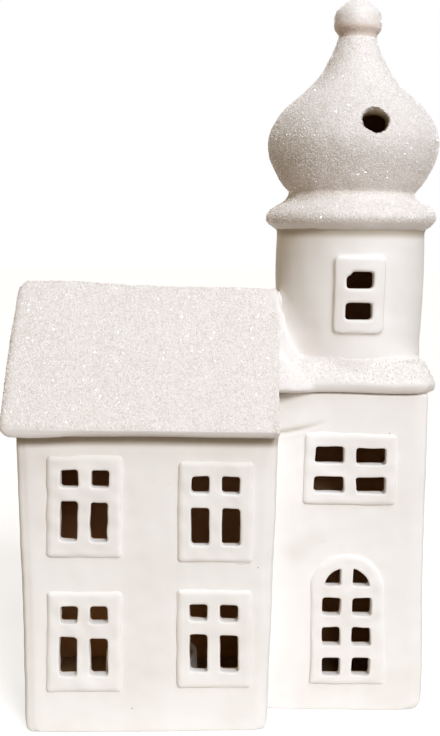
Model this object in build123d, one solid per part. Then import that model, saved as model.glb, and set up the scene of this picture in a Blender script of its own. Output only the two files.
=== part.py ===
from build123d import *
import os
from math import cos, radians, sin, tan

os.makedirs("parts", exist_ok=True)

# Fits
plug_clearance = 0.2
curved_clearance = 0.15
turning_clearance = 0.3
sliding_clearance = 0.25
cut_overrun = 6.0

# Direction shares that tell upright and level edges apart
upright_share = 0.9
level_share = 0.1

# House block
house_width = 96.0
house_depth = 80.0
wall_thickness = 3.6
foot_draft = 2.4
house_corner_radius = 5.0

# Saddle roof
roof_angle = 47.0
roof_thickness = 7.0
roof_end_overhang = 4.0
eave_reach = 8.9
eave_round = 3.2
ridge_round = 4.0
roof_end_round = 2.6
fillet_foot_reach = 9.0
fillet_shares = ((1.0, 0.0), (0.62, 0.17), (0.38, 0.33), (0.25, 0.54), (0.14, 0.78), (0.06, 1.0))

# Light opening in the gable end and passage to the tower
light_opening_width = 48.0
light_opening_straight = 28.0
passage_width = 40.0
passage_sill = 14.0
passage_height = 88.0
passage_radius = 12.0

# Square tower
tower_width = 58.5
tower_depth = 57.0
tower_setback = 23.0
tower_rise = 11.5
tower_corner_radius = 5.0

# Sloped ledge on the tower
ledge_overhang = 3.4
ledge_under_height = 4.2
ledge_slope_height = 7.7
ledge_under_inset = 2.6
ledge_slope_inset = 3.6
ledge_corner_radius = 9.0
ledge_round = 1.8

# Drum, collar, onion dome and finial
drum_radius = 29.3
drum_height = 49.6
drum_wall = 3.6
collar_radius = 33.8
collar_height = 14.6
collar_bore_radius = 21.5
collar_shares = ((0.872, 0.0), (0.951, 0.165), (1.0, 0.35), (0.943, 0.6), (0.795, 0.79), (0.748, 1.0))
dome_radius = 33.4
dome_height = 60.0
dome_wall = 3.2
dome_shares = ((0.756, 0.0), (0.862, 0.09), (1.0, 0.305), (0.93, 0.475), (0.722, 0.61),
               (0.464, 0.735), (0.311, 0.865), (0.2225, 1.0))
vent_diameter = 9.8
vent_height = 26.4
vent_turn = 8.5
vent_tilt = 12.0
finial_radius = 9.3
finial_height = 14.4
finial_shares = ((0.79, 0.0), (0.95, 0.2), (1.0, 0.44), (0.86, 0.74), (0.5, 0.945))
peg_length = 7.0

# Raised window frames, all with the same relief and lap over their wall opening
frame_relief = 1.4
frame_round = 0.9
frame_lap = 2.4
frame_corner_radius = 2.0
pane_corner_radius = 1.0

# House windows, two small panes above two tall panes
house_frame_width = 27.8
house_frame_height = 38.2
house_pane_width = 6.6
house_small_pane_height = 6.5
house_tall_pane_height = 14.5
house_mullion = 4.6
house_transom = 5.4
house_top_rail = 5.4
left_column = 25.3
right_column = 73.2
upper_left_height = 85.3
upper_right_height = 83.9
left_row_gap = 12.4
right_row_gap = 10.0
eave_gap = 9.6

# Tower window, two rows of two wide panes
tower_frame_width = 35.6
tower_frame_height = 28.0
tower_frame_drop = 29.6
tower_frames_aside = 0.85
tower_pane_width = 11.2
tower_pane_height = 6.5
tower_mullion = 4.7
tower_transom = 4.9
tower_top_rail = 5.4

# Arched tower door, three rows of panes under a divided arch
door_width = 28.2
door_height = 52.4
door_rise = 11.4
door_sill = 10.5
door_shoulder_radius = 4.0
door_pane_width = 7.3
door_pane_height = 7.2
door_mullion = 4.4
door_transom = 4.7
door_bottom_rail = 4.0
door_stile_rise = 5.4
door_rows = 3

# Drum window, one pane above the other
drum_frame_width = 19.2
drum_frame_height = 28.6
drum_frame_base = 10.8
drum_frame_turn = 2.0
drum_pane_width = 10.2
drum_pane_height = 6.4
drum_transom = 5.3
drum_top_rail = 5.6

# Light that stands on the table inside the house
light_radius = 18.9
light_top_radius = 18.2
light_height = 17.5
light_rim = 1.5
light_deck_drop = 2.6
light_deck = 1.4
light_rim_round = 0.6
case_bore_radius = 16.8
chassis_seat_radius = 17.5
chassis_lift = 0.9
chassis_thickness = 1.6

# Battery pocket, bayonet cover and coin cell
cell_radius = 10.0
cell_height = 3.2
cell_edge = 0.5
pocket_clearance = 0.35
pocket_wall = 2.2
pocket_roof = 1.4
cover_radius = 11.3
cover_lift = 0.1
cover_cell_gap = 0.2
lug_reach = 0.9
lug_height = 0.7
lug_angle = 18.0
lug_notch_angle = 26.0
cover_turn = 42.0
lug_count = 2
coin_slot_length = 12.0
coin_slot_width = 2.0
coin_slot_depth = 0.7

# Contacts and lamp
contact_thickness = 0.35
contact_width = 3.4
contact_reach = 7.0
lamp_radius = 2.5
lamp_flange_radius = 2.95
lamp_flange = 1.0
lamp_height = 8.6
lamp_lead_pitch = 2.54
lamp_lead_radius = 0.25
lamp_post_radius = 4.4
lamp_post_bore_radius = 2.3
lamp_post_height = 1.6
lead_hole_radius = 0.55

# Flame lens
flame_radius = 4.6
flame_height = 22.5
flame_flange_radius = 6.6
flame_flange = 1.2
flame_wall = 0.9
flame_shares = ((0.87, 0.0), (1.0, 0.26), (0.78, 0.58), (0.34, 0.87))

# Slide switch under the light
switch_radius = 14.6
switch_length = 6.0
switch_width = 2.4
switch_block = 2.0
switch_thumb_length = 2.4
switch_thumb_width = 1.8
switch_thumb_drop = 0.4
switch_travel = 2.0

# Places derived from the sizes above
slope = tan(radians(roof_angle))
roof_drop = roof_thickness / cos(radians(roof_angle))
lower_left_height = upper_left_height - house_frame_height - left_row_gap
lower_right_height = upper_right_height - house_frame_height - right_row_gap
wall_height = max(upper_left_height, upper_right_height) + house_frame_height / 2 + eave_gap
tower_height = wall_height + tower_rise
ridge_y = house_depth / 2
gable_height = wall_height + ridge_y * slope
ledge_height = ledge_under_height + ledge_slope_height
ledge_top = tower_height + ledge_height
collar_base = ledge_top + drum_height
dome_base = collar_base + collar_height
finial_base = dome_base + dome_height
axis_x = house_width + tower_width / 2
axis_y = tower_setback + tower_depth / 2
tower_end = house_width + tower_width
tower_frame_x = axis_x - tower_frames_aside
tower_frame_centre = tower_height - tower_frame_drop
tower_back = tower_setback + tower_depth
reach_left = -roof_end_overhang
reach_right = max(axis_x + max(collar_radius, dome_radius), tower_end + ledge_overhang)
light_x = house_width / 2
light_y = house_depth / 2


def front_prism(sketch, y0, y1):
    """Solid drawn in the front view and run from y0 back to y1."""
    return Pos(0, y0, 0) * extrude(Plane.XZ * sketch, amount=y1 - y0, dir=(0, 1, 0))


def side_prism(sketch, x0, x1):
    """Solid drawn in the side view and run from x0 to x1."""
    return Pos(x0, 0, 0) * extrude(Plane.YZ * sketch, amount=x1 - x0, dir=(1, 0, 0))


def plan_prism(sketch, z0, z1):
    """Solid drawn in plan and run from z0 up to z1."""
    return Pos(0, 0, z0) * extrude(sketch, amount=z1 - z0, dir=(0, 0, 1))


def outline(points):
    """Closed straight-sided sketch through the points."""
    return make_face(Polyline(*points, close=True))


def turned(shares, radius, height, wall=0):
    """Spline (radius, height) points of a turned form, drawn in by the wall."""
    return [(radius * r - wall, height * h) for r, h in shares]


def lathe(edges):
    """Solid of revolution about Z from profile edges in the front view."""
    return revolve(Plane.XZ * make_face(edges), axis=Axis.Z)


def disc(radius, z0, z1):
    """Round solid between two heights."""
    return plan_prism(Circle(radius), z0, z1)


def ring(outer, inner, z0, z1):
    """Round ring between two heights."""
    return plan_prism(Circle(outer) - Circle(inner), z0, z1)


def house_envelope():
    """Outside of the house block, drawn in at the foot and closed under the roof."""
    front = outline([(foot_draft, 0), (house_width - foot_draft, 0), (house_width, wall_height),
                     (house_width, gable_height), (0, gable_height), (0, wall_height)])
    side = outline([(0, 0), (house_depth, 0), (house_depth, wall_height),
                    (ridge_y, gable_height), (0, wall_height)])
    block = front_prism(front, 0, house_depth) & side_prism(side, 0, house_width)
    upright = block.edges().filter_by(lambda e: abs(e.tangent_at(0).Z) > upright_share)
    left = upright.sort_by(Axis.X)[:2]
    right_front = upright.sort_by(Axis.X)[2:].sort_by(Axis.Y)[0]
    return fillet(list(left) + [right_front], radius=house_corner_radius)


def house_cavity():
    """Open inside of the house block, from under the foot to above the gables."""
    low, high = -cut_overrun, gable_height + cut_overrun
    lean = foot_draft * (1 + cut_overrun / wall_height)
    front = outline([(lean + wall_thickness, low), (house_width - lean - wall_thickness, low),
                     (house_width - wall_thickness, wall_height), (house_width - wall_thickness, high),
                     (wall_thickness, high), (wall_thickness, wall_height)])
    return front_prism(front, wall_thickness, house_depth - wall_thickness)


def light_opening():
    """Arched way through the gable end for the light."""
    half = light_opening_width / 2
    straight = outline([(-half, -cut_overrun), (half, -cut_overrun),
                        (half, light_opening_straight), (-half, light_opening_straight)])
    arch = straight + Pos(0, light_opening_straight) * Circle(half)
    return Pos(0, light_y, 0) * side_prism(arch, -cut_overrun, foot_draft + wall_thickness + cut_overrun)


def passage():
    """Way through the house wall into the tower."""
    shape = Pos(axis_y, passage_sill + passage_height / 2) * RectangleRounded(
        passage_width, passage_height, passage_radius)
    return side_prism(shape, house_width - foot_draft - wall_thickness - cut_overrun,
                      house_width + cut_overrun)


def roof_profile():
    """Side view of the roof slab with rounded eaves and a soft ridge."""
    lean_y = roof_thickness * sin(radians(roof_angle))
    lean_z = roof_thickness * cos(radians(roof_angle))
    top = wall_height + roof_drop
    eave_z = top - eave_reach * slope
    face = outline([(-eave_reach, eave_z), (ridge_y, top + ridge_y * slope),
                    (house_depth + eave_reach, eave_z),
                    (house_depth + eave_reach - lean_y, eave_z - lean_z), (ridge_y, gable_height),
                    (lean_y - eave_reach, eave_z - lean_z)])
    ridge = face.vertices().sort_by(Axis.Y)[-1]
    face = fillet(ridge, radius=ridge_round)
    ends = face.vertices().sort_by(Axis.X)
    return fillet(list(ends[:2]) + list(ends[-2:]), radius=eave_round)


def drum_room(clearance):
    """Space taken by the drum, with clearance."""
    return Pos(axis_x, axis_y, ledge_top) * Cylinder(
        drum_radius + clearance, drum_height + cut_overrun,
        align=(Align.CENTER, Align.CENTER, Align.MIN))


def house_roof():
    """Saddle roof, rounded at its free end and notched for the drum."""
    slab = side_prism(roof_profile(), -roof_end_overhang, house_width)
    free_end = slab.faces().sort_by(Axis.X)[0]
    slab = fillet(free_end.edges(), radius=roof_end_round)
    return slab - drum_room(curved_clearance)


def roof_fillets():
    """Two slip fillets that close the valley between roof, drum and ledge."""
    top = wall_height + roof_drop
    peak = top + ridge_y * slope - roof_drop / 2
    curve = [(house_width + fillet_foot_reach * x, ledge_top + (peak - ledge_top) * z)
             for x, z in fillet_shares]
    foot, head = (house_width, ledge_top), (house_width, peak)
    front = make_face([Line(foot, curve[0]), Spline(*curve), Line(curve[-1], head), Line(head, foot)])
    start = tower_setback - ledge_overhang + ledge_slope_inset
    end = house_depth - (ledge_top - top) / slope
    under = outline([(start, ledge_top), (end, ledge_top), (ridge_y, top + ridge_y * slope),
                     (start, top + start * slope)])
    block = front_prism(front, start, end) & side_prism(under, house_width, tower_end)
    return block - drum_room(curved_clearance)


def house_side():
    """All that lies on the house's side of its tower wall."""
    region = outline([(-cut_overrun, 0), (house_width - foot_draft, 0), (house_width, wall_height),
                      (house_width, finial_base), (-cut_overrun, finial_base)])
    return front_prism(region, -cut_overrun, tower_back + 2 * cut_overrun)


def tower_walls():
    """Three walls of the tower, butted against the house wall."""
    start = house_width - foot_draft - cut_overrun / 2
    outer = Pos((start + tower_end) / 2, axis_y) * Rectangle(tower_end - start, tower_depth)
    corners = outer.vertices().sort_by(Axis.X)[-2:]
    outer = fillet(corners, radius=tower_corner_radius)
    inner = Pos((start + tower_end) / 2 - wall_thickness, axis_y) * Rectangle(
        tower_end - start, tower_depth - 2 * wall_thickness)
    return plan_prism(outer - inner, 0, tower_height) - house_side()


def ledge_outline(out):
    """Plan of the ledge, standing out from the tower walls by out."""
    radius = ledge_corner_radius + out - ledge_overhang
    return Pos(axis_x, axis_y) * RectangleRounded(tower_width + 2 * out, tower_depth + 2 * out, radius)


def tower_ledge():
    """Sloped ledge around the top of the tower with the drum's round way through it."""
    low = loft([Pos(0, 0, tower_height) * ledge_outline(ledge_overhang - ledge_under_inset),
                Pos(0, 0, tower_height + ledge_under_height) * ledge_outline(ledge_overhang)], ruled=True)
    high = loft([Pos(0, 0, tower_height + ledge_under_height) * ledge_outline(ledge_overhang),
                 Pos(0, 0, ledge_top) * ledge_outline(ledge_overhang - ledge_slope_inset)], ruled=True)
    body = low + high
    middle = body.edges().filter_by_position(Axis.Z, tower_height + ledge_round,
                                             ledge_top - ledge_round)
    brow = middle.filter_by(lambda e: abs(e.tangent_at(0).Z) < level_share)
    body = fillet(brow, radius=ledge_round)
    body -= Pos(axis_x, axis_y, 0) * disc(drum_radius - drum_wall, tower_height - cut_overrun,
                                          ledge_top + cut_overrun)
    return body - house_side()


def tower_drum():
    """Round drum of the tower with its window opening."""
    shell = ring(drum_radius, drum_radius - drum_wall, ledge_top, collar_base)
    return Pos(axis_x, axis_y, 0) * (shell - drum_window_cut(0))


def drum_sector(sketch):
    """Front view of the drum window run from outside to the drum's axis, turned to its place."""
    centre = ledge_top + drum_frame_base + drum_frame_height / 2
    reach = drum_radius + cut_overrun
    return Rot(0, 0, drum_frame_turn) * (Pos(0, 0, centre) * front_prism(sketch, -reach, 0))


def drum_window_cut(clearance):
    """Opening in the drum behind its frame, drawn in by the clearance."""
    return drum_sector(Rectangle(drum_frame_width - 2 * (frame_lap + clearance),
                                 drum_frame_height - 2 * (frame_lap + clearance)))


def dome_collar():
    """Flared collar between drum and dome."""
    points = turned(collar_shares, collar_radius, collar_height)
    foot, head = points[0], points[-1]
    edges = [Line((collar_bore_radius, 0), foot), Spline(*points),
             Line(head, (collar_bore_radius, head[1])),
             Line((collar_bore_radius, head[1]), (collar_bore_radius, 0))]
    return Pos(axis_x, axis_y, collar_base) * lathe(edges)


def onion_dome():
    """Hollow onion dome with an open neck and a round vent."""
    outer = turned(dome_shares, dome_radius, dome_height)
    inner = turned(dome_shares, dome_radius, dome_height, dome_wall)
    edges = [Spline(*outer), Line(outer[-1], inner[-1]), Spline(*inner), Line(inner[0], outer[0])]
    shell = lathe(edges)
    bore = Rot(0, 0, vent_turn) * (Pos(0, -dome_radius, vent_height) * (Rot(90 - vent_tilt, 0, 0) * Cylinder(
        vent_diameter / 2, dome_radius)))
    return Pos(axis_x, axis_y, dome_base) * (shell - bore)


def finial():
    """Ball finial with a peg down the neck of the dome."""
    points = turned(finial_shares, finial_radius, finial_height)
    peg = dome_radius * dome_shares[-1][0] - dome_wall - curved_clearance
    ball = Spline(*points, (0, finial_height), tangents=((0, 1), (-1, 0)))
    edges = [ball, Line((0, finial_height), (0, 0)), Line((0, 0), points[0])]
    body = lathe(edges) + disc(peg, -peg_length, 0)
    return Pos(axis_x, axis_y, finial_base) * body


def pane_grid(columns, rows):
    """Pane sketch from (centre, width) columns and (centre, height) rows."""
    panes = Sketch()
    for x, width in columns:
        for z, height in rows:
            panes += Pos(x, z) * RectangleRounded(width, height, pane_corner_radius)
    return panes


def framed(plate, plug, panes):
    """Raised frame on a wall face at y = 0 with a plug through the wall and panes through both."""
    raised = front_prism(plate, -frame_relief, 0)
    rim = raised.faces().sort_by(Axis.Y)[0].edges()
    raised = fillet(rim, radius=frame_round)
    body = raised + front_prism(plug, 0, wall_thickness)
    return body - front_prism(panes, -cut_overrun, wall_thickness + cut_overrun)


def plate(width, height, inset=0):
    """Round-cornered plate outline, drawn in by the inset."""
    return RectangleRounded(width - 2 * inset, height - 2 * inset, frame_corner_radius)


def pair(width, bar):
    """Two columns of panes with a bar between them."""
    return [(-(width + bar) / 2, width), ((width + bar) / 2, width)]


def rows_below(top, heights, bar):
    """Rows of panes set downward from a top edge with a bar between them."""
    rows = []
    for height in heights:
        rows.append((top - height / 2, height))
        top -= height + bar
    return rows


def house_window():
    """House frame, two small panes above two tall panes."""
    rows = rows_below(house_frame_height / 2 - house_top_rail,
                      (house_small_pane_height, house_tall_pane_height), house_transom)
    return framed(plate(house_frame_width, house_frame_height),
                  plate(house_frame_width, house_frame_height, frame_lap + plug_clearance),
                  pane_grid(pair(house_pane_width, house_mullion), rows))


def tower_window():
    """Tower frame, two rows of two wide panes."""
    rows = rows_below(tower_frame_height / 2 - tower_top_rail,
                      (tower_pane_height, tower_pane_height), tower_transom)
    return framed(plate(tower_frame_width, tower_frame_height),
                  plate(tower_frame_width, tower_frame_height, frame_lap + plug_clearance),
                  pane_grid(pair(tower_pane_width, tower_mullion), rows))


def arched(inset):
    """Arched door outline standing on its sill line, drawn in by the inset."""
    half = door_width / 2 - inset
    foot = inset
    rise = door_rise * half / (door_width / 2)
    spring = door_height - inset - rise
    shape = make_face([Line((-half, spring), (-half, foot)), Line((-half, foot), (half, foot)),
                       Line((half, foot), (half, spring)),
                       ThreePointArc((half, spring), (0, spring + rise), (-half, spring))])
    shoulders = shape.vertices().sort_by(Axis.Y)[-2:]
    shape = fillet(shoulders, radius=door_shoulder_radius)
    return fillet(shape.vertices().sort_by(Axis.Y)[:2], radius=pane_corner_radius)


def tower_door():
    """Arched door frame, three rows of panes under a divided arch."""
    pitch = door_pane_height + door_transom
    first = door_bottom_rail + door_pane_height / 2
    rows = [(first + i * pitch, door_pane_height) for i in range(door_rows)]
    columns = pair(door_pane_width, door_mullion)
    panes = pane_grid(columns, rows)
    arch_sill = door_bottom_rail + door_rows * pitch
    top = [(arch_sill + door_height / 2, door_height)]
    panes += pane_grid(columns, top) & arched(door_stile_rise)
    return framed(arched(0), arched(frame_lap + plug_clearance), panes)


def drum_window():
    """Curved frame on the drum with one pane above the other."""
    flange = ring(drum_radius + frame_relief, drum_radius + curved_clearance, ledge_top, collar_base)
    flange = flange & drum_sector(plate(drum_frame_width, drum_frame_height))
    body = ring(drum_radius + curved_clearance, drum_radius - drum_wall, ledge_top, collar_base)
    body = body & drum_window_cut(plug_clearance)
    rows = rows_below(drum_frame_height / 2 - drum_top_rail,
                      (drum_pane_height, drum_pane_height), drum_transom)
    panes = drum_sector(pane_grid([(0, drum_pane_width)], rows))
    return Pos(axis_x, axis_y, 0) * (flange + body - panes)


def light_case():
    """Case of the light, open below, with a sunken deck round the flame."""
    deck = light_height - light_deck_drop
    hole = flame_radius + turning_clearance
    seat = chassis_lift + chassis_thickness
    dish = light_top_radius - light_rim
    points = [(chassis_seat_radius, 0), (light_radius, 0), (light_top_radius, light_height),
              (dish, light_height), (dish, deck), (hole, deck),
              (hole, deck - light_deck), (case_bore_radius, deck - light_deck), (case_bore_radius, seat),
              (chassis_seat_radius, seat)]
    body = revolve(Plane.XZ * outline(points), axis=Axis.Z)
    rim = body.faces().sort_by(Axis.Z)[-1].edges()
    return fillet(rim, radius=light_rim_round)


# Heights inside the light
chassis_top = chassis_lift + chassis_thickness
cover_top = chassis_top
cell_base = cover_top + cover_cell_gap
cell_top = cell_base + cell_height
roof_under = cell_top + contact_thickness
roof_top = roof_under + pocket_roof
lamp_seat = roof_top + lamp_post_height
pocket_radius = cell_radius + pocket_clearance
pocket_outer = pocket_radius + pocket_wall
cover_bore = cover_radius + turning_clearance
lug_groove = cover_radius + lug_reach + turning_clearance
lug_base = cover_top - lug_height


def sector(outer, inner, centre, spread, z0, z1):
    """Part of a ring about the given angle."""
    edge_angle = radians(spread / 2)
    far = outer * 2
    wedge = outline([(0, 0), (far * cos(edge_angle), -far * sin(edge_angle)), (far * 2, 0),
                     (far * cos(edge_angle), far * sin(edge_angle))])
    return Rot(0, 0, centre) * plan_prism((Circle(outer) - Circle(inner)) & wedge, z0, z1)


def lug_places(offset):
    """Angles of the bayonet lugs."""
    return [offset + i * 360 / lug_count for i in range(lug_count)]


def positive_slot(clearance):
    """Upright slot for the positive contact, through the pocket wall and its roof."""
    width = contact_width + 2 * clearance
    depth = contact_thickness + 2 * clearance
    return Pos(pocket_radius + contact_thickness / 2, 0, (chassis_top + roof_top) / 2) * Box(
        depth, width, roof_top - chassis_top + 2 * clearance)


def light_chassis():
    """Base plate of the light with the battery pocket, lamp post and switch slot."""
    seat = chassis_seat_radius - curved_clearance
    body = ring(seat, cover_bore, chassis_lift, chassis_top)
    body += ring(pocket_outer, pocket_radius, chassis_top, roof_under)
    body += disc(pocket_outer, roof_under, roof_top)
    body += ring(lamp_post_radius, lamp_post_bore_radius, roof_top, lamp_seat)
    body -= ring(lug_groove, cover_bore - curved_clearance, lug_base - curved_clearance, cover_top)
    for angle in lug_places(cover_turn):
        body -= sector(lug_groove, cover_bore - curved_clearance, angle, lug_notch_angle,
                       chassis_lift - cut_overrun, cover_top)
    body -= positive_slot(curved_clearance)
    lead_hole = disc(lead_hole_radius, roof_under - contact_thickness, lamp_seat)
    body -= Pos(-lamp_lead_pitch / 2, 0, 0) * lead_hole
    arm_width = contact_width + 2 * curved_clearance
    body -= Pos((lamp_post_radius + lamp_lead_pitch / 2) / 2, 0, roof_top + contact_thickness) * Box(
        lamp_post_radius, arm_width, 2 * contact_thickness)
    slot = Rectangle(switch_thumb_length + switch_travel + 2 * sliding_clearance,
                     switch_thumb_width + 2 * sliding_clearance)
    slot = plan_prism(slot, chassis_lift - cut_overrun, chassis_top)
    body -= Pos(switch_travel / 2, -switch_radius, 0) * slot
    return body


def battery_cover():
    """Turning cover with bayonet lugs and a coin slot."""
    base = chassis_lift + cover_lift
    body = disc(cover_radius, base, cover_top)
    for angle in lug_places(0):
        body += sector(cover_radius + lug_reach, cover_radius - lug_reach, angle, lug_angle, lug_base,
                       cover_top - cover_lift)
    slot = Pos(0, 0, base + coin_slot_depth / 2 - cut_overrun / 2) * Box(
        coin_slot_length, coin_slot_width, coin_slot_depth + cut_overrun)
    return body - slot


def coin_cell():
    """Coin cell with rounded edges."""
    body = disc(cell_radius, cell_base, cell_top)
    return fillet(body.edges().filter_by(GeomType.CIRCLE), radius=cell_edge)


def negative_contact():
    """Flat spring strip between the cell and the pocket roof."""
    middle = (contact_width - contact_reach - lamp_lead_pitch) / 2
    return plan_prism(Pos(middle, 0) * Rectangle(contact_reach, contact_width), cell_top, roof_under)


def positive_contact():
    """Bent strip beside the cell, over the pocket roof to the lamp post."""
    inner = pocket_radius
    outer = inner + contact_thickness
    arm_top = roof_top + contact_thickness
    side = outline([(inner, cell_base), (outer, cell_base), (outer, arm_top),
                    (lamp_lead_pitch / 2 - lamp_lead_radius, arm_top),
                    (lamp_lead_pitch / 2 - lamp_lead_radius, roof_top), (inner, roof_top)])
    return front_prism(side, -contact_width / 2, contact_width / 2)


def lamp():
    """Small round lamp with two leads."""
    dome = lamp_height - lamp_radius
    body = disc(lamp_flange_radius, lamp_seat, lamp_seat + lamp_flange)
    body += disc(lamp_radius, lamp_seat, lamp_seat + dome)
    body += Pos(0, 0, lamp_seat + dome) * Sphere(lamp_radius)
    for x, end in ((-lamp_lead_pitch / 2, roof_under), (lamp_lead_pitch / 2, roof_top + contact_thickness)):
        body += Pos(x, 0, 0) * disc(lamp_lead_radius, end, lamp_seat)
    return body


def flame_lens():
    """Hollow flame-shaped lens held under the deck by its flange."""
    deck = light_height - light_deck_drop - light_deck
    points = turned(flame_shares, flame_radius, flame_height)
    outer = Spline(*points, (0, flame_height))
    inner_height = flame_height * flame_shares[2][1]
    bore = points[0][0] - flame_wall
    edges = [outer, Line((0, flame_height), (0, 0)), Line((0, 0), points[0])]
    body = lathe(edges) + disc(flame_flange_radius, -flame_flange, 0)
    hollow = disc(bore, -flame_flange - cut_overrun, inner_height - bore)
    hollow += Pos(0, 0, inner_height - bore) * Sphere(bore)
    return Pos(0, 0, deck) * (body - hollow)


def switch_slider():
    """Slide switch with its thumb down through the base plate."""
    block = plan_prism(Rectangle(switch_length, switch_width), chassis_top, chassis_top + switch_block)
    thumb = plan_prism(Rectangle(switch_thumb_length, switch_thumb_width), switch_thumb_drop, chassis_top)
    return Pos(0, -switch_radius, 0) * (block + thumb)


# Place of each flat frame on its wall
frames = {
    "upper_left_window": (house_window, left_column, 0, upper_left_height),
    "upper_right_window": (house_window, right_column, 0, upper_right_height),
    "lower_left_window": (house_window, left_column, 0, lower_left_height),
    "lower_right_window": (house_window, right_column, 0, lower_right_height),
    "tower_window": (tower_window, tower_frame_x, tower_setback, tower_frame_centre),
    "tower_door": (tower_door, tower_frame_x, tower_setback, door_sill),
}
openings = {
    house_window: plate(house_frame_width, house_frame_height, frame_lap),
    tower_window: plate(tower_frame_width, tower_frame_height, frame_lap),
    tower_door: arched(frame_lap),
}


def wall_cuts(wall_y):
    """Openings behind the frames on one wall."""
    cuts = []
    for maker, x, y, z in frames.values():
        if y == wall_y:
            cut = front_prism(openings[maker], -cut_overrun, wall_thickness + cut_overrun)
            cuts.append(Pos(x, y, z) * cut)
    return cuts


# Assembly
walls = house_envelope() - house_cavity() - light_opening() - passage() - drum_room(curved_clearance)
for cut in wall_cuts(0):
    walls -= cut
tower = tower_walls()
for cut in wall_cuts(tower_setback):
    tower -= cut

pieces = {
    "house_walls": walls,
    "house_roof": house_roof(),
    "roof_fillets": roof_fillets(),
    "tower_walls": tower,
    "tower_ledge": tower_ledge(),
    "tower_drum": tower_drum(),
    "dome_collar": dome_collar(),
    "onion_dome": onion_dome(),
    "finial": finial(),
    "drum_window": drum_window(),
}
for name, (maker, x, y, z) in frames.items():
    pieces[name] = Pos(x, y, z) * maker()

light_pieces = {
    "light_case": light_case(),
    "light_chassis": light_chassis(),
    "battery_cover": battery_cover(),
    "coin_cell": coin_cell(),
    "negative_contact": negative_contact(),
    "positive_contact": positive_contact(),
    "lamp": lamp(),
    "flame_lens": flame_lens(),
    "switch_slider": switch_slider(),
}
for name, solid in light_pieces.items():
    pieces[name] = Pos(light_x, light_y, 0) * solid

# Common frame, with the middle of the whole footprint at the origin
front_most = pieces["house_roof"].bounding_box().min.Y
back_most = max(pieces["house_roof"].bounding_box().max.Y, axis_y + max(collar_radius, dome_radius),
                tower_back + ledge_overhang)
centre = Pos(-(reach_left + reach_right) / 2, -(front_most + back_most) / 2, 0)
for name, solid in pieces.items():
    export_step(centre * solid, f"parts/{name}.step")
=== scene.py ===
import logging
import math
from dataclasses import dataclass
from enum import Enum
from typing import Any, Mapping, Sequence

import bmesh
import bpy
import numpy as np
from mathutils import Matrix, Vector


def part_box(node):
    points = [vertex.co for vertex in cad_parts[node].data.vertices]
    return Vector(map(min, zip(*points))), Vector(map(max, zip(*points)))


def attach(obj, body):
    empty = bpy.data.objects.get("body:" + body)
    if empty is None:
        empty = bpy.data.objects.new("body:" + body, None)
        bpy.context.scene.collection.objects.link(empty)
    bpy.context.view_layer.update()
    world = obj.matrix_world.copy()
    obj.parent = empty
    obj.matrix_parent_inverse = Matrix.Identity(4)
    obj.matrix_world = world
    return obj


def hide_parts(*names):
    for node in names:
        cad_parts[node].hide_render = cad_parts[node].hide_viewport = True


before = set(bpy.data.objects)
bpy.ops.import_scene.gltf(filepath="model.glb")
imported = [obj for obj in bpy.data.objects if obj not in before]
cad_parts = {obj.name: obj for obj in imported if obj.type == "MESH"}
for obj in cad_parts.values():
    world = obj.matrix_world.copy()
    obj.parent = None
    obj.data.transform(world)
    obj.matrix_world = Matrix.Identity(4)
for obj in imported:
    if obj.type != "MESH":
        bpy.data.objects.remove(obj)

LOG = logging.getLogger("village_house")
MM = 0.001
PHOTO_HEIGHT = 736
TINY = 1e-9
WHITE = (1.0, 1.0, 1.0, 1.0)
FOOT_SKEW_MM = 2.6
# Strength of the painted shade under overhangs.
STRIP_SHADE = 0.95

Socket = bpy.types.NodeSocket
Tree = bpy.types.NodeTree
Node = bpy.types.Node
Piece = bpy.types.Object
Finish = bpy.types.Material
Mesh = bpy.types.Mesh
Shape = bmesh.types.BMesh
Points = np.ndarray
Place = tuple[float, float, float]
Span = tuple[float, float]
Table = tuple[tuple[float, float], ...]


class Body(Enum):
    """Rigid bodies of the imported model."""

    HOUSE = "house"
    LIGHT = "light"
    COVER = "cover"
    SWITCH = "switch"


class Slot(Enum):
    """Material slots of the record."""

    BISQUE = "bisque"
    GLITTERED = "glittered_bisque"
    PLASTIC = "white_plastic"
    FLAME = "flame_plastic"
    EPOXY = "lamp_epoxy"
    STEEL = "cell_steel"
    NICKEL = "contact_nickel"
    BLACK = "black_plastic"


class LampKind(Enum):
    """Kinds of studio lamp."""

    FAR = "SUN"
    SOFTBOX = "AREA"


def linear(code: str) -> tuple[float, float, float, float]:
    """Turns an sRGB hex colour into a linear one.

    Args:
        code: Colour as "#RRGGBB".

    Returns:
        Linear red, green and blue with alpha 1.
    """
    parts = [int(code[i:i + 2], 16) / 255 for i in (1, 3, 5)]
    r, g, b = (c / 12.92 if c <= 0.04045 else ((c + 0.055) / 1.055) ** 2.4 for c in parts)
    return r, g, b, 1.0


def wire(tree: Tree, node: Node, inputs: Mapping[Any, Any]) -> None:
    """Sets or links the inputs of a node.

    Args:
        tree: Node tree of the node.
        node: The node.
        inputs: Socket name or index to a value, or to an output socket to link from.
    """
    for key, value in inputs.items():
        if isinstance(value, Socket):
            tree.links.new(value, node.inputs[key])
        else:
            node.inputs[key].default_value = value


def add_node(tree: Tree, kind: str, settings: Mapping[str, Any] | None = None,
             inputs: Mapping[Any, Any] | None = None) -> Node:
    """Adds a node with its settings, values and links.

    Args:
        tree: Node tree that gets the node.
        kind: Node type name.
        settings: Attributes of the node.
        inputs: Socket name or index to a value, or to an output socket to link from.

    Returns:
        The new node.
    """
    node = tree.nodes.new(kind)
    for key, value in (settings or {}).items():
        setattr(node, key, value)
    wire(tree, node, inputs or {})
    return node


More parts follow.
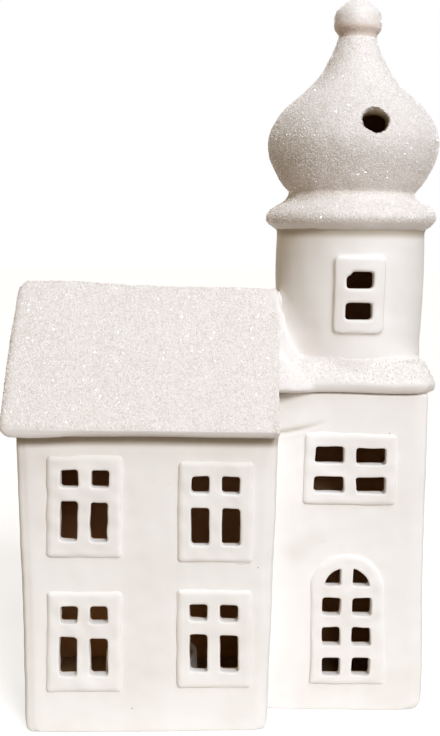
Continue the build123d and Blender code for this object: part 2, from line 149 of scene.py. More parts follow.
def blend_colours(tree: Tree, factor: Any, first: Any, second: Any) -> Socket:
    """Mixes two colours.

    Args:
        tree: Node tree that gets the node.
        factor: Share of the second colour, or a socket.
        first: First colour as "#RRGGBB", or a socket.
        second: Second colour as "#RRGGBB", or a socket.

    Returns:
        The colour output.
    """
    first, second = (linear(c) if isinstance(c, str) else c for c in (first, second))
    node = add_node(tree, "ShaderNodeMix", {"data_type": "RGBA"}, {0: factor, 6: first, 7: second})
    return node.outputs[2]


def stretch(tree: Tree, value: Socket, old: Span,
            new: Span = (0.0, 1.0)) -> Socket:
    """Stretches a value from one span to another and clamps it.

    Args:
        tree: Node tree that gets the node.
        value: Socket to stretch.
        old: Start and end of the old span.
        new: Start and end of the new span.

    Returns:
        The stretched value.
    """
    node = add_node(tree, "ShaderNodeMapRange", {"clamp": True},
                    {"Value": value, "From Min": old[0], "From Max": old[1],
                     "To Min": new[0], "To Max": new[1]})
    return node.outputs["Result"]


@dataclass
class Coat:
    """Principled material under construction, on object coordinates."""

    name: str

    def __post_init__(self) -> None:
        """Starts the material."""
        self.made = bpy.data.materials.new(self.name)
        self.made.use_nodes = True
        self.tree = self.made.node_tree
        self.shader = self.tree.nodes["Principled BSDF"]
        self.coords = add_node(self.tree, "ShaderNodeTexCoord").outputs["Object"]

    def noise(self, size_mm: float, detail: float,
              coords: Socket | None = None) -> Socket:
        """Adds soft clouds.

        Args:
            size_mm: Size of a cloud.
            detail: Number of finer layers.
            coords: Coordinates to use instead of the object's own.

        Returns:
            The clouds' value.
        """
        where = self.coords if coords is None else coords
        node = add_node(self.tree, "ShaderNodeTexNoise", None,
                        {"Vector": where, "Scale": 1 / (size_mm * MM), "Detail": detail})
        return node.outputs["Fac"]

    def cells(self, size_mm: float) -> Node:
        """Adds scattered cells of a size."""
        return add_node(self.tree, "ShaderNodeTexVoronoi", None,
                        {"Vector": self.coords, "Scale": 1 / (size_mm * MM), "Randomness": 1.0})

    def mask(self, name: str) -> Socket:
        """Reads a named mask of the mesh."""
        return add_node(self.tree, "ShaderNodeAttribute", {"attribute_name": name}).outputs["Fac"]

    def marked(self, colour: Socket, marks: Mapping[str, str]) -> Socket:
        """Lays tones over a colour where masks of the mesh say so.

        Args:
            colour: Colour below.
            marks: Name of each mask and its tone.

        Returns:
            The colour with the tones.
        """
        for name, tone in marks.items():
            colour = blend_colours(self.tree, self.mask(name), colour, tone)
        return colour

    def bump(self, height: Socket, strength: float, depth_mm: float,
             invert: bool = False) -> Socket:
        """Roughens the surface by a height.

        Args:
            height: Height at each place.
            strength: Share of the roughening.
            depth_mm: Depth of the grain.
            invert: Whether high places lie deep.

        Returns:
            The roughened normal.
        """
        node = add_node(self.tree, "ShaderNodeBump", {"invert": invert},
                        {"Height": height, "Strength": strength, "Distance": depth_mm * MM})
        return node.outputs["Normal"]

    def finish(self, inputs: Mapping[str, Any]) -> Finish:
        """Sets the inputs of the shader.

        Args:
            inputs: Socket name to a value or a socket.

        Returns:
            The finished material.
        """
        wire(self.tree, self.shader, inputs)
        return self.made


@dataclass(frozen=True)
class Bisque:
    """White bisque from a slip mould: matte, faintly mottled, raw brown clay inside, with painted shade under
    overhangs and in creases.
    """

    name: str = "slip_cast_white_bisque"
    face: str = "#F5F2EE"
    mottle: str = "#EFEAE5"
    smudge: str = "#DFD8CF"
    # Tone of the painted shade under overhangs and in the tower's groove.
    painted_shade: str = "#BDB3A2"
    speck: str = "#6E6258"
    clay: str = "#C8996A"
    mottle_mm: float = 24.0
    mottle_span: Span = (0.42, 0.72)
    speck_cell_mm: float = 17.0
    speck_edge_mm: Span = (0.18, 0.36)
    speck_strength: float = 0.6
    grain_mm: float = 0.9
    grain_depth_mm: float = 0.03
    grain_strength: float = 0.6
    roughness: float = 0.74
    gloss: float = 0.35

    def material(self) -> Finish:
        """Builds the material.

        Returns:
            The finished material.
        """
        coat = Coat(self.name)
        clouds = stretch(coat.tree, coat.noise(self.mottle_mm, detail=3.0), self.mottle_span)
        colour = blend_colours(coat.tree, clouds, self.face, self.mottle)
        edge = (self.speck_edge_mm[0] / self.speck_cell_mm, self.speck_edge_mm[1] / self.speck_cell_mm)
        dots = stretch(coat.tree, coat.cells(self.speck_cell_mm).outputs["Distance"], edge,
                       (self.speck_strength, 0.0))
        colour = blend_colours(coat.tree, dots, colour, self.speck)
        colour = coat.marked(colour, {"smudge": self.smudge, "painted_shade": self.painted_shade, "inside": self.clay})
        grain = coat.bump(coat.noise(self.grain_mm, detail=2.0), self.grain_strength, self.grain_depth_mm)
        return coat.finish({"Base Color": colour, "Normal": grain, "Roughness": self.roughness,
                            "Specular IOR Level": self.gloss})


@dataclass(frozen=True)
class GlitteredBisque:
    """White bisque under a strewn coat of fine clear glitter.

    It looks grainy, with bright and dull grains, smooth and pale where no glitter lies, brown inside,
    with raw clay under painted shade in the vent, painted shade round the dome's belly, and brown painted as
    shade under the finial's ball.
    """

    name: str = "glittered_white_bisque"
    bare: str = "#EFEBE7"
    face: str = "#EDE8E3"
    dull: str = "#D9D1C7"
    # Raw clay inside; also painted as shade under the finial's ball.
    clay: str = "#C8996A"
    # Dark tone of raw clay under painted shade in the vent, and of thin painted shade round the belly.
    clay_and_painted_shade: str = "#5C4A30"
    dull_span: Span = (0.4, 1.0)
    dull_share: Span = (0.0, 0.9)
    rainbow: float = 0.02
    roughness: Span = (0.28, 0.8)
    grain_mm: float = 0.6
    grain_depth_mm: float = 0.2
    grain_strength: float = 0.8

    def material(self) -> Finish:
        """Builds the material.

        Returns:
            The finished material.
        """
        coat = Coat(self.name)
        tree, cells, strewn = coat.tree, coat.cells(self.grain_mm), coat.mask("glitter")
        tone = add_node(tree, "ShaderNodeSeparateColor", None, {"Color": cells.outputs["Color"]})
        dulled = stretch(tree, tone.outputs["Red"], self.dull_span, self.dull_share)
        grainy = blend_colours(tree, dulled, self.face, self.dull)
        grainy = blend_colours(tree, self.rainbow, grainy, cells.outputs["Color"])
        colour = blend_colours(tree, strewn, self.bare, grainy)
        colour = coat.marked(colour, {"inside": self.clay, "clay_and_painted_shade": self.clay_and_painted_shade})
        depth = add_node(tree, "ShaderNodeMath", {"operation": "MULTIPLY"},
                         {0: cells.outputs["Distance"], 1: strewn})
        grain = coat.bump(depth.outputs[0], self.grain_strength, self.grain_depth_mm, invert=True)
        return coat.finish({"Base Color": colour, "Normal": grain,
                            "Roughness": stretch(tree, tone.outputs["Green"], (0.0, 1.0), self.roughness)})


@dataclass(frozen=True)
class GlitterGrain:
    """Crushed clear glitter: small bright chips, a few of them mirroring the room."""

    name: str = "crushed_clear_glitter"
    bright: str = "#FBF7F5"
    dim: str = "#E8E0DA"
    dim_span: Span = (0.45, 1.0)
    rough_span: Span = (0.0, 0.6)
    roughness: Span = (0.26, 0.55)
    mirror_span: Span = (0.04, 0.06)
    mirror: float = 0.8
    gloss: float = 0.5

    def material(self) -> Finish:
        """Builds the material.

        Returns:
            The finished material.
        """
        coat = Coat(self.name)
        tree, tint = coat.tree, coat.mask("tint")
        return coat.finish({
            "Base Color": blend_colours(tree, stretch(tree, tint, self.dim_span), self.bright, self.dim),
            "Roughness": stretch(tree, tint, self.rough_span, self.roughness),
            "Metallic": stretch(tree, tint, self.mirror_span, (self.mirror, 0.0)),
            "Specular IOR Level": self.gloss})


@dataclass(frozen=True)
class Moulded:
    """Injection-moulded plastic: even colour with a fine satin grain."""

    name: str
    face: str
    shade: str
    roughness: float = 0.42
    grain_mm: float = 0.4
    transmission: float = 0.0
    cloud_mm: float = 6.0
    cloud_span: Span = (0.4, 0.7)
    grain_depth_mm: float = 0.02
    grain_strength: float = 0.3

    def material(self) -> Finish:
        """Builds the material.

        Returns:
            The finished material.
        """
        coat = Coat(self.name)
        clouds = stretch(coat.tree, coat.noise(self.cloud_mm, detail=2.0), self.cloud_span)
        grain = coat.bump(coat.noise(self.grain_mm, detail=1.0), self.grain_strength, self.grain_depth_mm)
        return coat.finish({"Base Color": blend_colours(coat.tree, clouds, self.face, self.shade),
                            "Normal": grain, "Roughness": self.roughness,
                            "Transmission Weight": self.transmission})


@dataclass(frozen=True)
class Plated:
    """Rolled and plated sheet metal: bright with fine rolling lines."""

    name: str
    face: str
    shade: str
    roughness: float = 0.28
    line_mm: float = 4.0
    line_squeeze: float = 14.0

    def material(self) -> Finish:
        """Builds the material.

        Returns:
            The finished material.
        """
        coat = Coat(self.name)
        rolled = add_node(coat.tree, "ShaderNodeMapping", None,
                          {"Vector": coat.coords, "Scale": (1.0, self.line_squeeze, self.line_squeeze)})
        lines = coat.noise(self.line_mm, 2.0, rolled.outputs["Vector"])
        return coat.finish({"Base Color": blend_colours(coat.tree, lines, self.face, self.shade),
                            "Metallic": 1.0, "Roughness": self.roughness})


@dataclass(frozen=True)
class Wobble:
    """Smooth hand-made unevenness of a surface."""

    size_mm: float
    depth_mm: float
    seed: int
    waves: int = 16
    rate_span: Span = (0.6, 1.5)

    def offsets(self, points: Points) -> Points:
        """Gives the shift of each point.

        Args:
            points: Points in millimetres.

        Returns:
            One shift in millimetres for each point.
        """
        rng = np.random.default_rng(self.seed)
        way = rng.normal(size=(self.waves, 3))
        way /= np.linalg.norm(way, axis=1, keepdims=True)
        rate = math.tau / self.size_mm * rng.uniform(*self.rate_span, size=(self.waves, 1))
        phase = rng.uniform(0, math.tau, size=self.waves)
        push = rng.normal(size=(self.waves, 3)) * (self.depth_mm / math.sqrt(self.waves / 2))
        return np.sin(points @ (way * rate).T + phase) @ push


# One unevenness for the whole cast, so that pieces that touch move together.
HAND = (Wobble(38, 0.16, 59), Wobble(11, 0.04, 4))


def join_loops(shape: Shape, here: Sequence[Any], there: Sequence[Any]) -> None:
    """Joins two closed loops of vertices by a band of faces.

    Args:
        shape: Mesh that gets the faces.
        here: First loop.
        there: Second loop, as long as the first.
    """
    for k in range(len(here)):
        after = (k + 1) % len(here)
        shape.faces.new((here[k], there[k], there[after], here[after]))


@dataclass(frozen=True)
class Ring:
    """Closed ring, or part of one, that fills a seam between two casts."""

    axis_mm: tuple[float, float]
    base_mm: tuple[float, float]
    profile_mm: Table
    turn_deg: Span = (0.0, 360.0)
    steps: int = 96

    def add_to(self, shape: Shape) -> None:
        """Adds the ring to a mesh under construction.

        Args:
            shape: Mesh that gets it.
        """
        start, end = self.turn_deg
        whole = end - start >= 360.0
        count = self.steps if whole else self.steps + 1
        loops = []
        for index in range(count):
            angle = math.radians(start + (end - start) * index / self.steps)
            spots = []
            for out, up in self.profile_mm:
                radius = self.base_mm[0] + out
                spots.append(shape.verts.new(((self.axis_mm[0] + radius * math.cos(angle)) * MM,
                                              (self.axis_mm[1] + radius * math.sin(angle)) * MM,
                                              (self.base_mm[1] + up) * MM)))
            loops.append(spots)
        for index in range(count if whole else count - 1):
            join_loops(shape, loops[index], loops[(index + 1) % count])
        if not whole:
            shape.faces.new(loops[0][::-1])
            shape.faces.new(loops[-1])


@dataclass(frozen=True)
class Lump:
    """Small round bit of clay left on a cast."""

    place_mm: Place
    radii_mm: Place

    def add_to(self, shape: Shape) -> None:
        """Adds the lump to a mesh under construction.

        Args:
            shape: Mesh that gets it.
        """
        scale = Matrix.Diagonal([*(Vector(self.radii_mm) * MM), 1.0])
        bmesh.ops.create_icosphere(shape, subdivisions=2, radius=1.0,
                                   matrix=Matrix.Translation(Vector(self.place_mm) * MM) @ scale)


@dataclass(frozen=True)
class Weld:
    """Straight strip of slip that closes the seam between two flush walls."""

    start_mm: Place
    end_mm: Place
    width_mm: float
    depth_mm: float

    def add_to(self, shape: Shape) -> None:
        """Adds the strip to a mesh under construction.

        Args:
            shape: Mesh that gets it.
        """
        ends = []
        for x, y, z in (self.start_mm, self.end_mm):
            ends.append([shape.verts.new(((x + side * self.width_mm / 2) * MM,
                                          (y + back * self.depth_mm) * MM, z * MM))
                         for side, back in ((-1, 0), (1, 0), (1, -1), (-1, -1))])
        join_loops(shape, *ends)
        shape.faces.new(ends[0])
        shape.faces.new(ends[1][::-1])


@dataclass(frozen=True)
class Patch:
    """Curved web of slip that fills a valley: a grid of points, thickened backwards."""

    rows_mm: tuple[tuple[Place, ...], ...]
    back_mm: Place

    def add_to(self, shape: Shape) -> None:
        """Adds the web to a mesh under construction.

        Args:
            shape: Mesh that gets it.
        """
        behind = Vector(self.back_mm)
        front = [[shape.verts.new(Vector(p) * MM) for p in row] for row in self.rows_mm]
        back = [[shape.verts.new((Vector(p) + behind) * MM) for p in row] for row in self.rows_mm]
        tall, wide = len(front), len(front[0])
        for i in range(tall - 1):
            for j in range(wide - 1):
                for grid in (front, back):
                    shape.faces.new((grid[i][j], grid[i][j + 1], grid[i + 1][j + 1], grid[i + 1][j]))
        rim = ([(0, j) for j in range(wide)] + [(i, wide - 1) for i in range(1, tall)]
               + [(tall - 1, j) for j in range(wide - 2, -1, -1)] + [(i, 0) for i in range(tall - 2, 0, -1)])
        join_loops(shape, [front[i][j] for i, j in rim], [back[i][j] for i, j in rim])


Filler = Ring | Lump | Weld | Patch


def smooth_step(value: np.ndarray, start: float, end: float) -> np.ndarray:
    """Goes softly from 0 at one value to 1 at another, which may be the lower one.

    Args:
        value: Values to grade.
        start: Value that gives 0.
        end: Value that gives 1.

    Returns:
        Shares from 0 to 1.
    """
    share = np.clip((value - start) / (end - start), 0.0, 1.0)
    return share * share * (3 - 2 * share)


def follow(table: Table, value: np.ndarray) -> np.ndarray:
    """Reads a table of pairs, straight between its rows.

    Args:
        table: Pairs of place and amount.
        value: Places to read it at.

    Returns:
        The amounts.
    """
    places, amounts = zip(*table)
    return np.interp(value, places, amounts)


def crisp_corner(first: np.ndarray, second: np.ndarray, radius: float) -> tuple[np.ndarray, np.ndarray]:
    """Tightens the rounding of an upright corner between two walls.

    Args:
        first: How far each point lies behind the first wall's face.
        second: How far each point lies behind the second wall's face.
        radius: Radius of the rounding.

    Returns:
        The two new distances.
    """
    u, v = np.clip(1 - first / radius, 0, None), np.clip(1 - second / radius, 0, None)
    both = (u > 0) & (v > 0)
    grow = np.where(both, np.hypot(u, v) / np.maximum((u ** 4 + v ** 4) ** 0.25, TINY), 1.0)
    return np.where(both, radius * (1 - u * grow), first), np.where(both, radius * (1 - v * grow), second)


def blunt_corner(first: np.ndarray, second: np.ndarray, radius: float,
                 most: float = 1.2) -> tuple[np.ndarray, np.ndarray]:
    """Rounds off a square corner between two faces.

    Args:
        first: How far each point lies behind the first face.
        second: How far each point lies behind the second face.
        radius: Radius of the rounding.
        most: How far in front of a face a point still counts, in radii from the middle.

    Returns:
        The two new distances.
    """
    u, v = np.clip(1 - first / radius, 0, most), np.clip(1 - second / radius, 0, most)
    both = (u > 0) & (v > 0)
    return (np.where(both, radius * (1 - u * np.sqrt(1 - v * v / 2)), first),
            np.where(both, radius * (1 - v * np.sqrt(1 - u * u / 2)), second))


def mesh_points(mesh: Mesh) -> Points:
    """Gives the vertices of a mesh.

    Args:
        mesh: The mesh.

    Returns:
        One point in millimetres for each vertex.
    """
    flat = np.empty(len(mesh.vertices) * 3)
    mesh.vertices.foreach_get("co", flat)
    return flat.reshape(-1, 3) / MM


def mesh_normals(mesh: Mesh) -> Points:
    """Gives the vertex normals of a mesh.

    Args:
        mesh: The mesh.

    Returns:
        One direction for each vertex.
    """
    flat = np.empty(len(mesh.vertices) * 3, dtype=np.float32)
    mesh.vertex_normals.foreach_get("vector", flat)
    return flat.reshape(-1, 3).astype(float)


def set_points(mesh: Mesh, points: Points) -> None:
    """Moves the vertices of a mesh.

    Args:
        mesh: The mesh.
        points: New points in millimetres.
    """
    mesh.vertices.foreach_set("co", (points * MM).ravel())
    mesh.update()


def set_mask(mesh: Mesh, name: str, values: np.ndarray) -> None:
    """Stores one number for each vertex.

    Args:
        mesh: The mesh.
        name: Name of the mask.
        values: The numbers.
    """
    layer = mesh.attributes.get(name) or mesh.attributes.new(name, "FLOAT", "POINT")
    layer.data.foreach_set("value", values.astype(np.float32))


def shade_below(mesh: Mesh, points: Points, edge_mm: float, span_mm: Span) -> None:
    """Darkens the strip under an overhang with painted shade.

    Args:
        mesh: Mesh that gets the shade.
        points: Its points in millimetres.
        edge_mm: Height of the overhang's lower edge.
        span_mm: How far below the edge the shade starts and is full.
    """
    set_mask(mesh, "painted_shade", STRIP_SHADE * smooth_step(edge_mm - points[:, 2], *span_mm))


def new_object(name: str, data: bpy.types.ID) -> Piece:
    """Puts a mesh, lamp or camera into the scene.

    Args:
        name: Name of the new object.
        data: Its mesh, lamp or camera.

    Returns:
        The new object.
    """
    made = bpy.data.objects.new(name, data)
    bpy.context.scene.collection.objects.link(made)
    return made


def plain_mesh(source: Piece) -> Mesh:
    """Turns an object with its modifiers into a plain mesh, and drops the modifiers.

    Args:
        source: The object.

    Returns:
        The plain mesh.
    """
    graph = bpy.context.evaluated_depsgraph_get()
    graph.update()
    mesh = bpy.data.meshes.new_from_object(source.evaluated_get(graph))
    source.modifiers.clear()
    return mesh


def cast_from(name: str, nodes: Sequence[str], voxel_mm: float, rounds: int, wobbles: Sequence[Wobble] = HAND,
              fillers: Sequence[Filler] = ()) -> Piece:
    """Makes one soft-edged cast skin from a joined copy of some solids.

    Args:
        name: Name of the new piece.
        nodes: Nodes whose solids are joined.
        voxel_mm: Size of the new skin's facets.
        rounds: How often the skin is smoothed.
        wobbles: Unevenness to lay over it.
        fillers: Bits of slip that fill its seams.

    Returns:
        The new piece.
    """
    same_spot_mm, softness = 0.002, 0.5
    shape = bmesh.new()
    for node in nodes:
        shape.from_mesh(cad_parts[node].data)
    bmesh.ops.remove_doubles(shape, verts=shape.verts, dist=same_spot_mm * MM)
    for filler in fillers:
        filler.add_to(shape)
    bmesh.ops.recalc_face_normals(shape, faces=shape.faces)
    mesh = bpy.data.meshes.new(name)
    shape.to_mesh(mesh)
    shape.free()
    piece = new_object(name, mesh)
    skin = piece.modifiers.new("skin", "REMESH")
    skin.mode = "VOXEL"
    skin.voxel_size = voxel_mm * MM
    skin.use_smooth_shade = True
    soft = piece.modifiers.new("soft", "SMOOTH")
    soft.factor = softness
    soft.iterations = rounds
    made = plain_mesh(piece)
    piece.data = made
    bpy.data.meshes.remove(mesh)
    made.name = name
    points = mesh_points(made)
    points = points + sum((w.offsets(points) for w in wobbles), np.zeros_like(points))
    points[:, 2] = np.maximum(points[:, 2], 0.0)
    set_points(made, points)
    return piece


def dress(piece: Piece, material: Finish, body: Body,
          nodes: Sequence[str] = ()) -> None:
    """Gives a piece its material and body, and hides the nodes that it replaces.
        material: Its material.
        body: Body that it moves with.
        nodes: Nodes that it stands for.
    """
    piece.data.materials.clear()
    piece.data.materials.append(material)
    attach(piece, body.value)
    if nodes:
        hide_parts(*nodes)
    LOG.info("%s: %d faces on %s", piece.name, len(piece.data.polygons), body.value)


def box_of(node: str) -> tuple[Vector, Vector]:
    """Lowest and highest corner of a node's box in millimetres."""
    low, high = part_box(node)
    return Vector(low) / MM, Vector(high) / MM


def centre_of(node: str) -> Vector:
    """Middle of a node's box in millimetres."""
    low, high = box_of(node)
    return (low + high) / 2


def drum_sizes() -> tuple[np.ndarray, float, float]:
    """Measures the drum that the slip runs up to.

    Returns:
        Its axis as x and y, its radius and the height of its foot, in millimetres.
    """
    low, centre = box_of("tower_drum")[0], centre_of("tower_drum")
    return np.array([centre.x, centre.y]), centre.x - low.x, low.z


def skewed_front(points: Points, fade_mm: float = 100.0, reach_mm: float = 30.0) -> Points:
    """Turns the foot of the house front a little, as the cast one stands.

    Args:
        points: Points in millimetres.
        fade_mm: Height at which the shift is gone.
        reach_mm: Depth behind the front at which it is gone.

    Returns:
        The shifted points.
    """
    low, high = box_of("house_walls")
    across = np.clip((points[:, 0] - (low.x + high.x) / 2) / ((high.x - low.x) / 2), -1, 1)
    share = smooth_step(points[:, 2], fade_mm, 0.0) * smooth_step(points[:, 1] - low.y, reach_mm, 0.0)
    moved = points.copy()
    moved[:, 1] += FOOT_SKEW_MM * across * share
    return moved


@dataclass
class CastWalls:
    """What the walls of the house and of the tower share."""

    bisque: Finish
    wall_mm: float = 3.6
    lean_mm: float = 2.4
    corner_mm: float = 3.6
    clay_edge_mm: float = 0.7
    clay_fade_mm: float = 0.5
    edge_span_mm: Span = (14.0, 6.0)
    rounds: int = 5

    def mark_inside(self, piece: Piece, depth: np.ndarray) -> None:
        """Shows raw clay on the inside of the walls.

        Args:
            piece: The walls.
            depth: How far each point lies behind the nearest outer face, in millimetres.
        """
        reach = self.wall_mm - self.clay_edge_mm
        set_mask(piece.data, "inside",
                 smooth_step(depth, reach - self.clay_fade_mm, reach + self.clay_fade_mm))

    def edge_shift(self, table: Table, height: np.ndarray, behind: np.ndarray) -> np.ndarray:
        """Gives the unevenness of an upright outer edge.

        Args:
            table: Height and shift in millimetres.
            height: Height of each point in millimetres.
            behind: How far each point lies behind the edge, in millimetres.

        Returns:
            The shift of each point in millimetres.
        """
        return follow(table, height) * smooth_step(behind, *self.edge_span_mm)


@dataclass
class HouseBlock(CastWalls):
    """Main block with its gables and four window frames."""

    voxel_mm: float = 0.95
    upright_mm: float = 114.0
    eave_shade_mm: Span = (4.2, 1.6)
    left_edge_mm: Table = ((0, 2.3), (0.6, 1.5), (1.5, 0.9), (3, 0.7), (8, 0.6), (19, 0.75), (33, 0.6),
                           (48, 0.45), (62, 0.57), (77, 0.23), (91, -0.31), (106, -0.4))
    frame_names: tuple[str, ...] = ("upper_left_window", "upper_right_window", "lower_left_window",
                                    "lower_right_window")
    first_seed: int = 20
    drip_frame: str = "upper_right_window"
    drip_place_mm: Place = (23.0, 1.1, -0.3)
    drip_radii_mm: Place = (4.2, 0.9, 1.3)

    def build(self) -> None:
        """Builds and dresses the walls and the frames."""
        self.build_walls()
        corner = box_of(self.drip_frame)[0]
        drip = Lump(tuple(c + d for c, d in zip(corner, self.drip_place_mm)), self.drip_radii_mm)
        for index, name in enumerate(self.frame_names):
            drips = (drip,) if name == self.drip_frame else ()
            PlateFrame(name, self.bisque, self.first_seed + index, skewed=True, drips=drips).build()

    def build_walls(self) -> None:
        """Builds the four walls as one cast skin."""
        low, high = box_of("house_walls")
        piece = cast_from("house_walls_cast", ["house_walls"], self.voxel_mm, self.rounds)
        points = mesh_points(piece.data)
        lean = self.lean_mm * np.clip(1 - points[:, 2] / self.upright_mm, 0, 1)
        left, right = low.x + lean, high.x - lean
        self.mark_inside(piece, np.minimum.reduce([points[:, 0] - left, right - points[:, 0],
                                                   points[:, 1] - low.y, high.y - points[:, 1]]))
        # Painted shade on the wall under the eave.
        shade_below(piece.data, points, box_of("house_roof")[0].z, self.eave_shade_mm)
        across, deep = crisp_corner(points[:, 0] - left, points[:, 1] - low.y, self.corner_mm)
        points[:, 0], points[:, 1] = left + across, low.y + deep
        across, deep = crisp_corner(right - points[:, 0], points[:, 1] - low.y, self.corner_mm)
        points[:, 0], points[:, 1] = right - across, low.y + deep
        points[:, 0] += self.edge_shift(self.left_edge_mm, points[:, 2], points[:, 0] - low.x)
        set_points(piece.data, skewed_front(points))
        dress(piece, self.bisque, Body.HOUSE, ["house_walls"])


@dataclass
class PlateFrame:
    """Raised flat window or door frame with hand-cut panes and pillowed edges."""

    name: str
    bisque: Finish
    seed: int
    skewed: bool = False
    arched: bool = False
    flare_mm: float = 0.0
    drips: tuple[Lump, ...] = ()
    voxel_mm: float = 0.38
    rounds: int = 2
    ripple_mm: tuple[float, float] = (8, 0.07)
    sway_mm: tuple[float, float] = (26, 0.1)
    sway_seed_step: int = 50
    deepening: float = 1.12
    pillow_mm: float = 0.75
    pillow_width_mm: float = 2.4
    front_span_mm: Span = (1.3, 0.7)
    clay_span_mm: Span = (1.2, 0.3)
    flare_side_mm: Span = (3.4, 0.4)
    flare_down_mm: Span = (14.0, 50.0)

    def build(self) -> None:
        """Builds and dresses the frame."""
        low, high = box_of(self.name)
        wobbles = [*HAND, Wobble(*self.ripple_mm, self.seed),
                   Wobble(*self.sway_mm, self.seed + self.sway_seed_step)]
        piece = cast_from(self.name + "_cast", [self.name], self.voxel_mm, self.rounds, wobbles, self.drips)
        points = mesh_points(piece.data)
        set_mask(piece.data, "inside", smooth_step(high.y - points[:, 1], *self.clay_span_mm))
        behind = points[:, 1] - low.y
        edge = 1 - np.clip(self.border(points, low, high) / self.pillow_width_mm, 0, 1)
        pillow = self.pillow_mm * edge ** 2 * smooth_step(behind, *self.front_span_mm)
        points[:, 1] = low.y + behind * self.deepening + pillow
        points[:, 0] += (self.flare_mm * smooth_step(high.x - points[:, 0], *self.flare_side_mm)
                         * smooth_step(high.z - points[:, 2], *self.flare_down_mm))
        set_points(piece.data, skewed_front(points) if self.skewed else points)
        dress(piece, self.bisque, Body.HOUSE, [self.name])

    def border(self, points: Points, low: Vector, high: Vector) -> np.ndarray:
        """Gives how far each point lies inside the plate's outline.

        Args:
            points: Points in millimetres.
            low: Lowest corner of the frame.
            high: Highest corner of the frame.

        Returns:
            Distances in millimetres.
        """
        sides = np.minimum(points[:, 0] - low.x, high.x - points[:, 0])
        head = high.z - points[:, 2]
        if self.arched:
            half, middle = (high.x - low.x) / 2, (high.x + low.x) / 2
            spring = high.z - half
            head = half - np.hypot(points[:, 0] - middle, np.maximum(points[:, 2] - spring, 0))
        return np.minimum.reduce([sides, points[:, 2] - low.z, head])


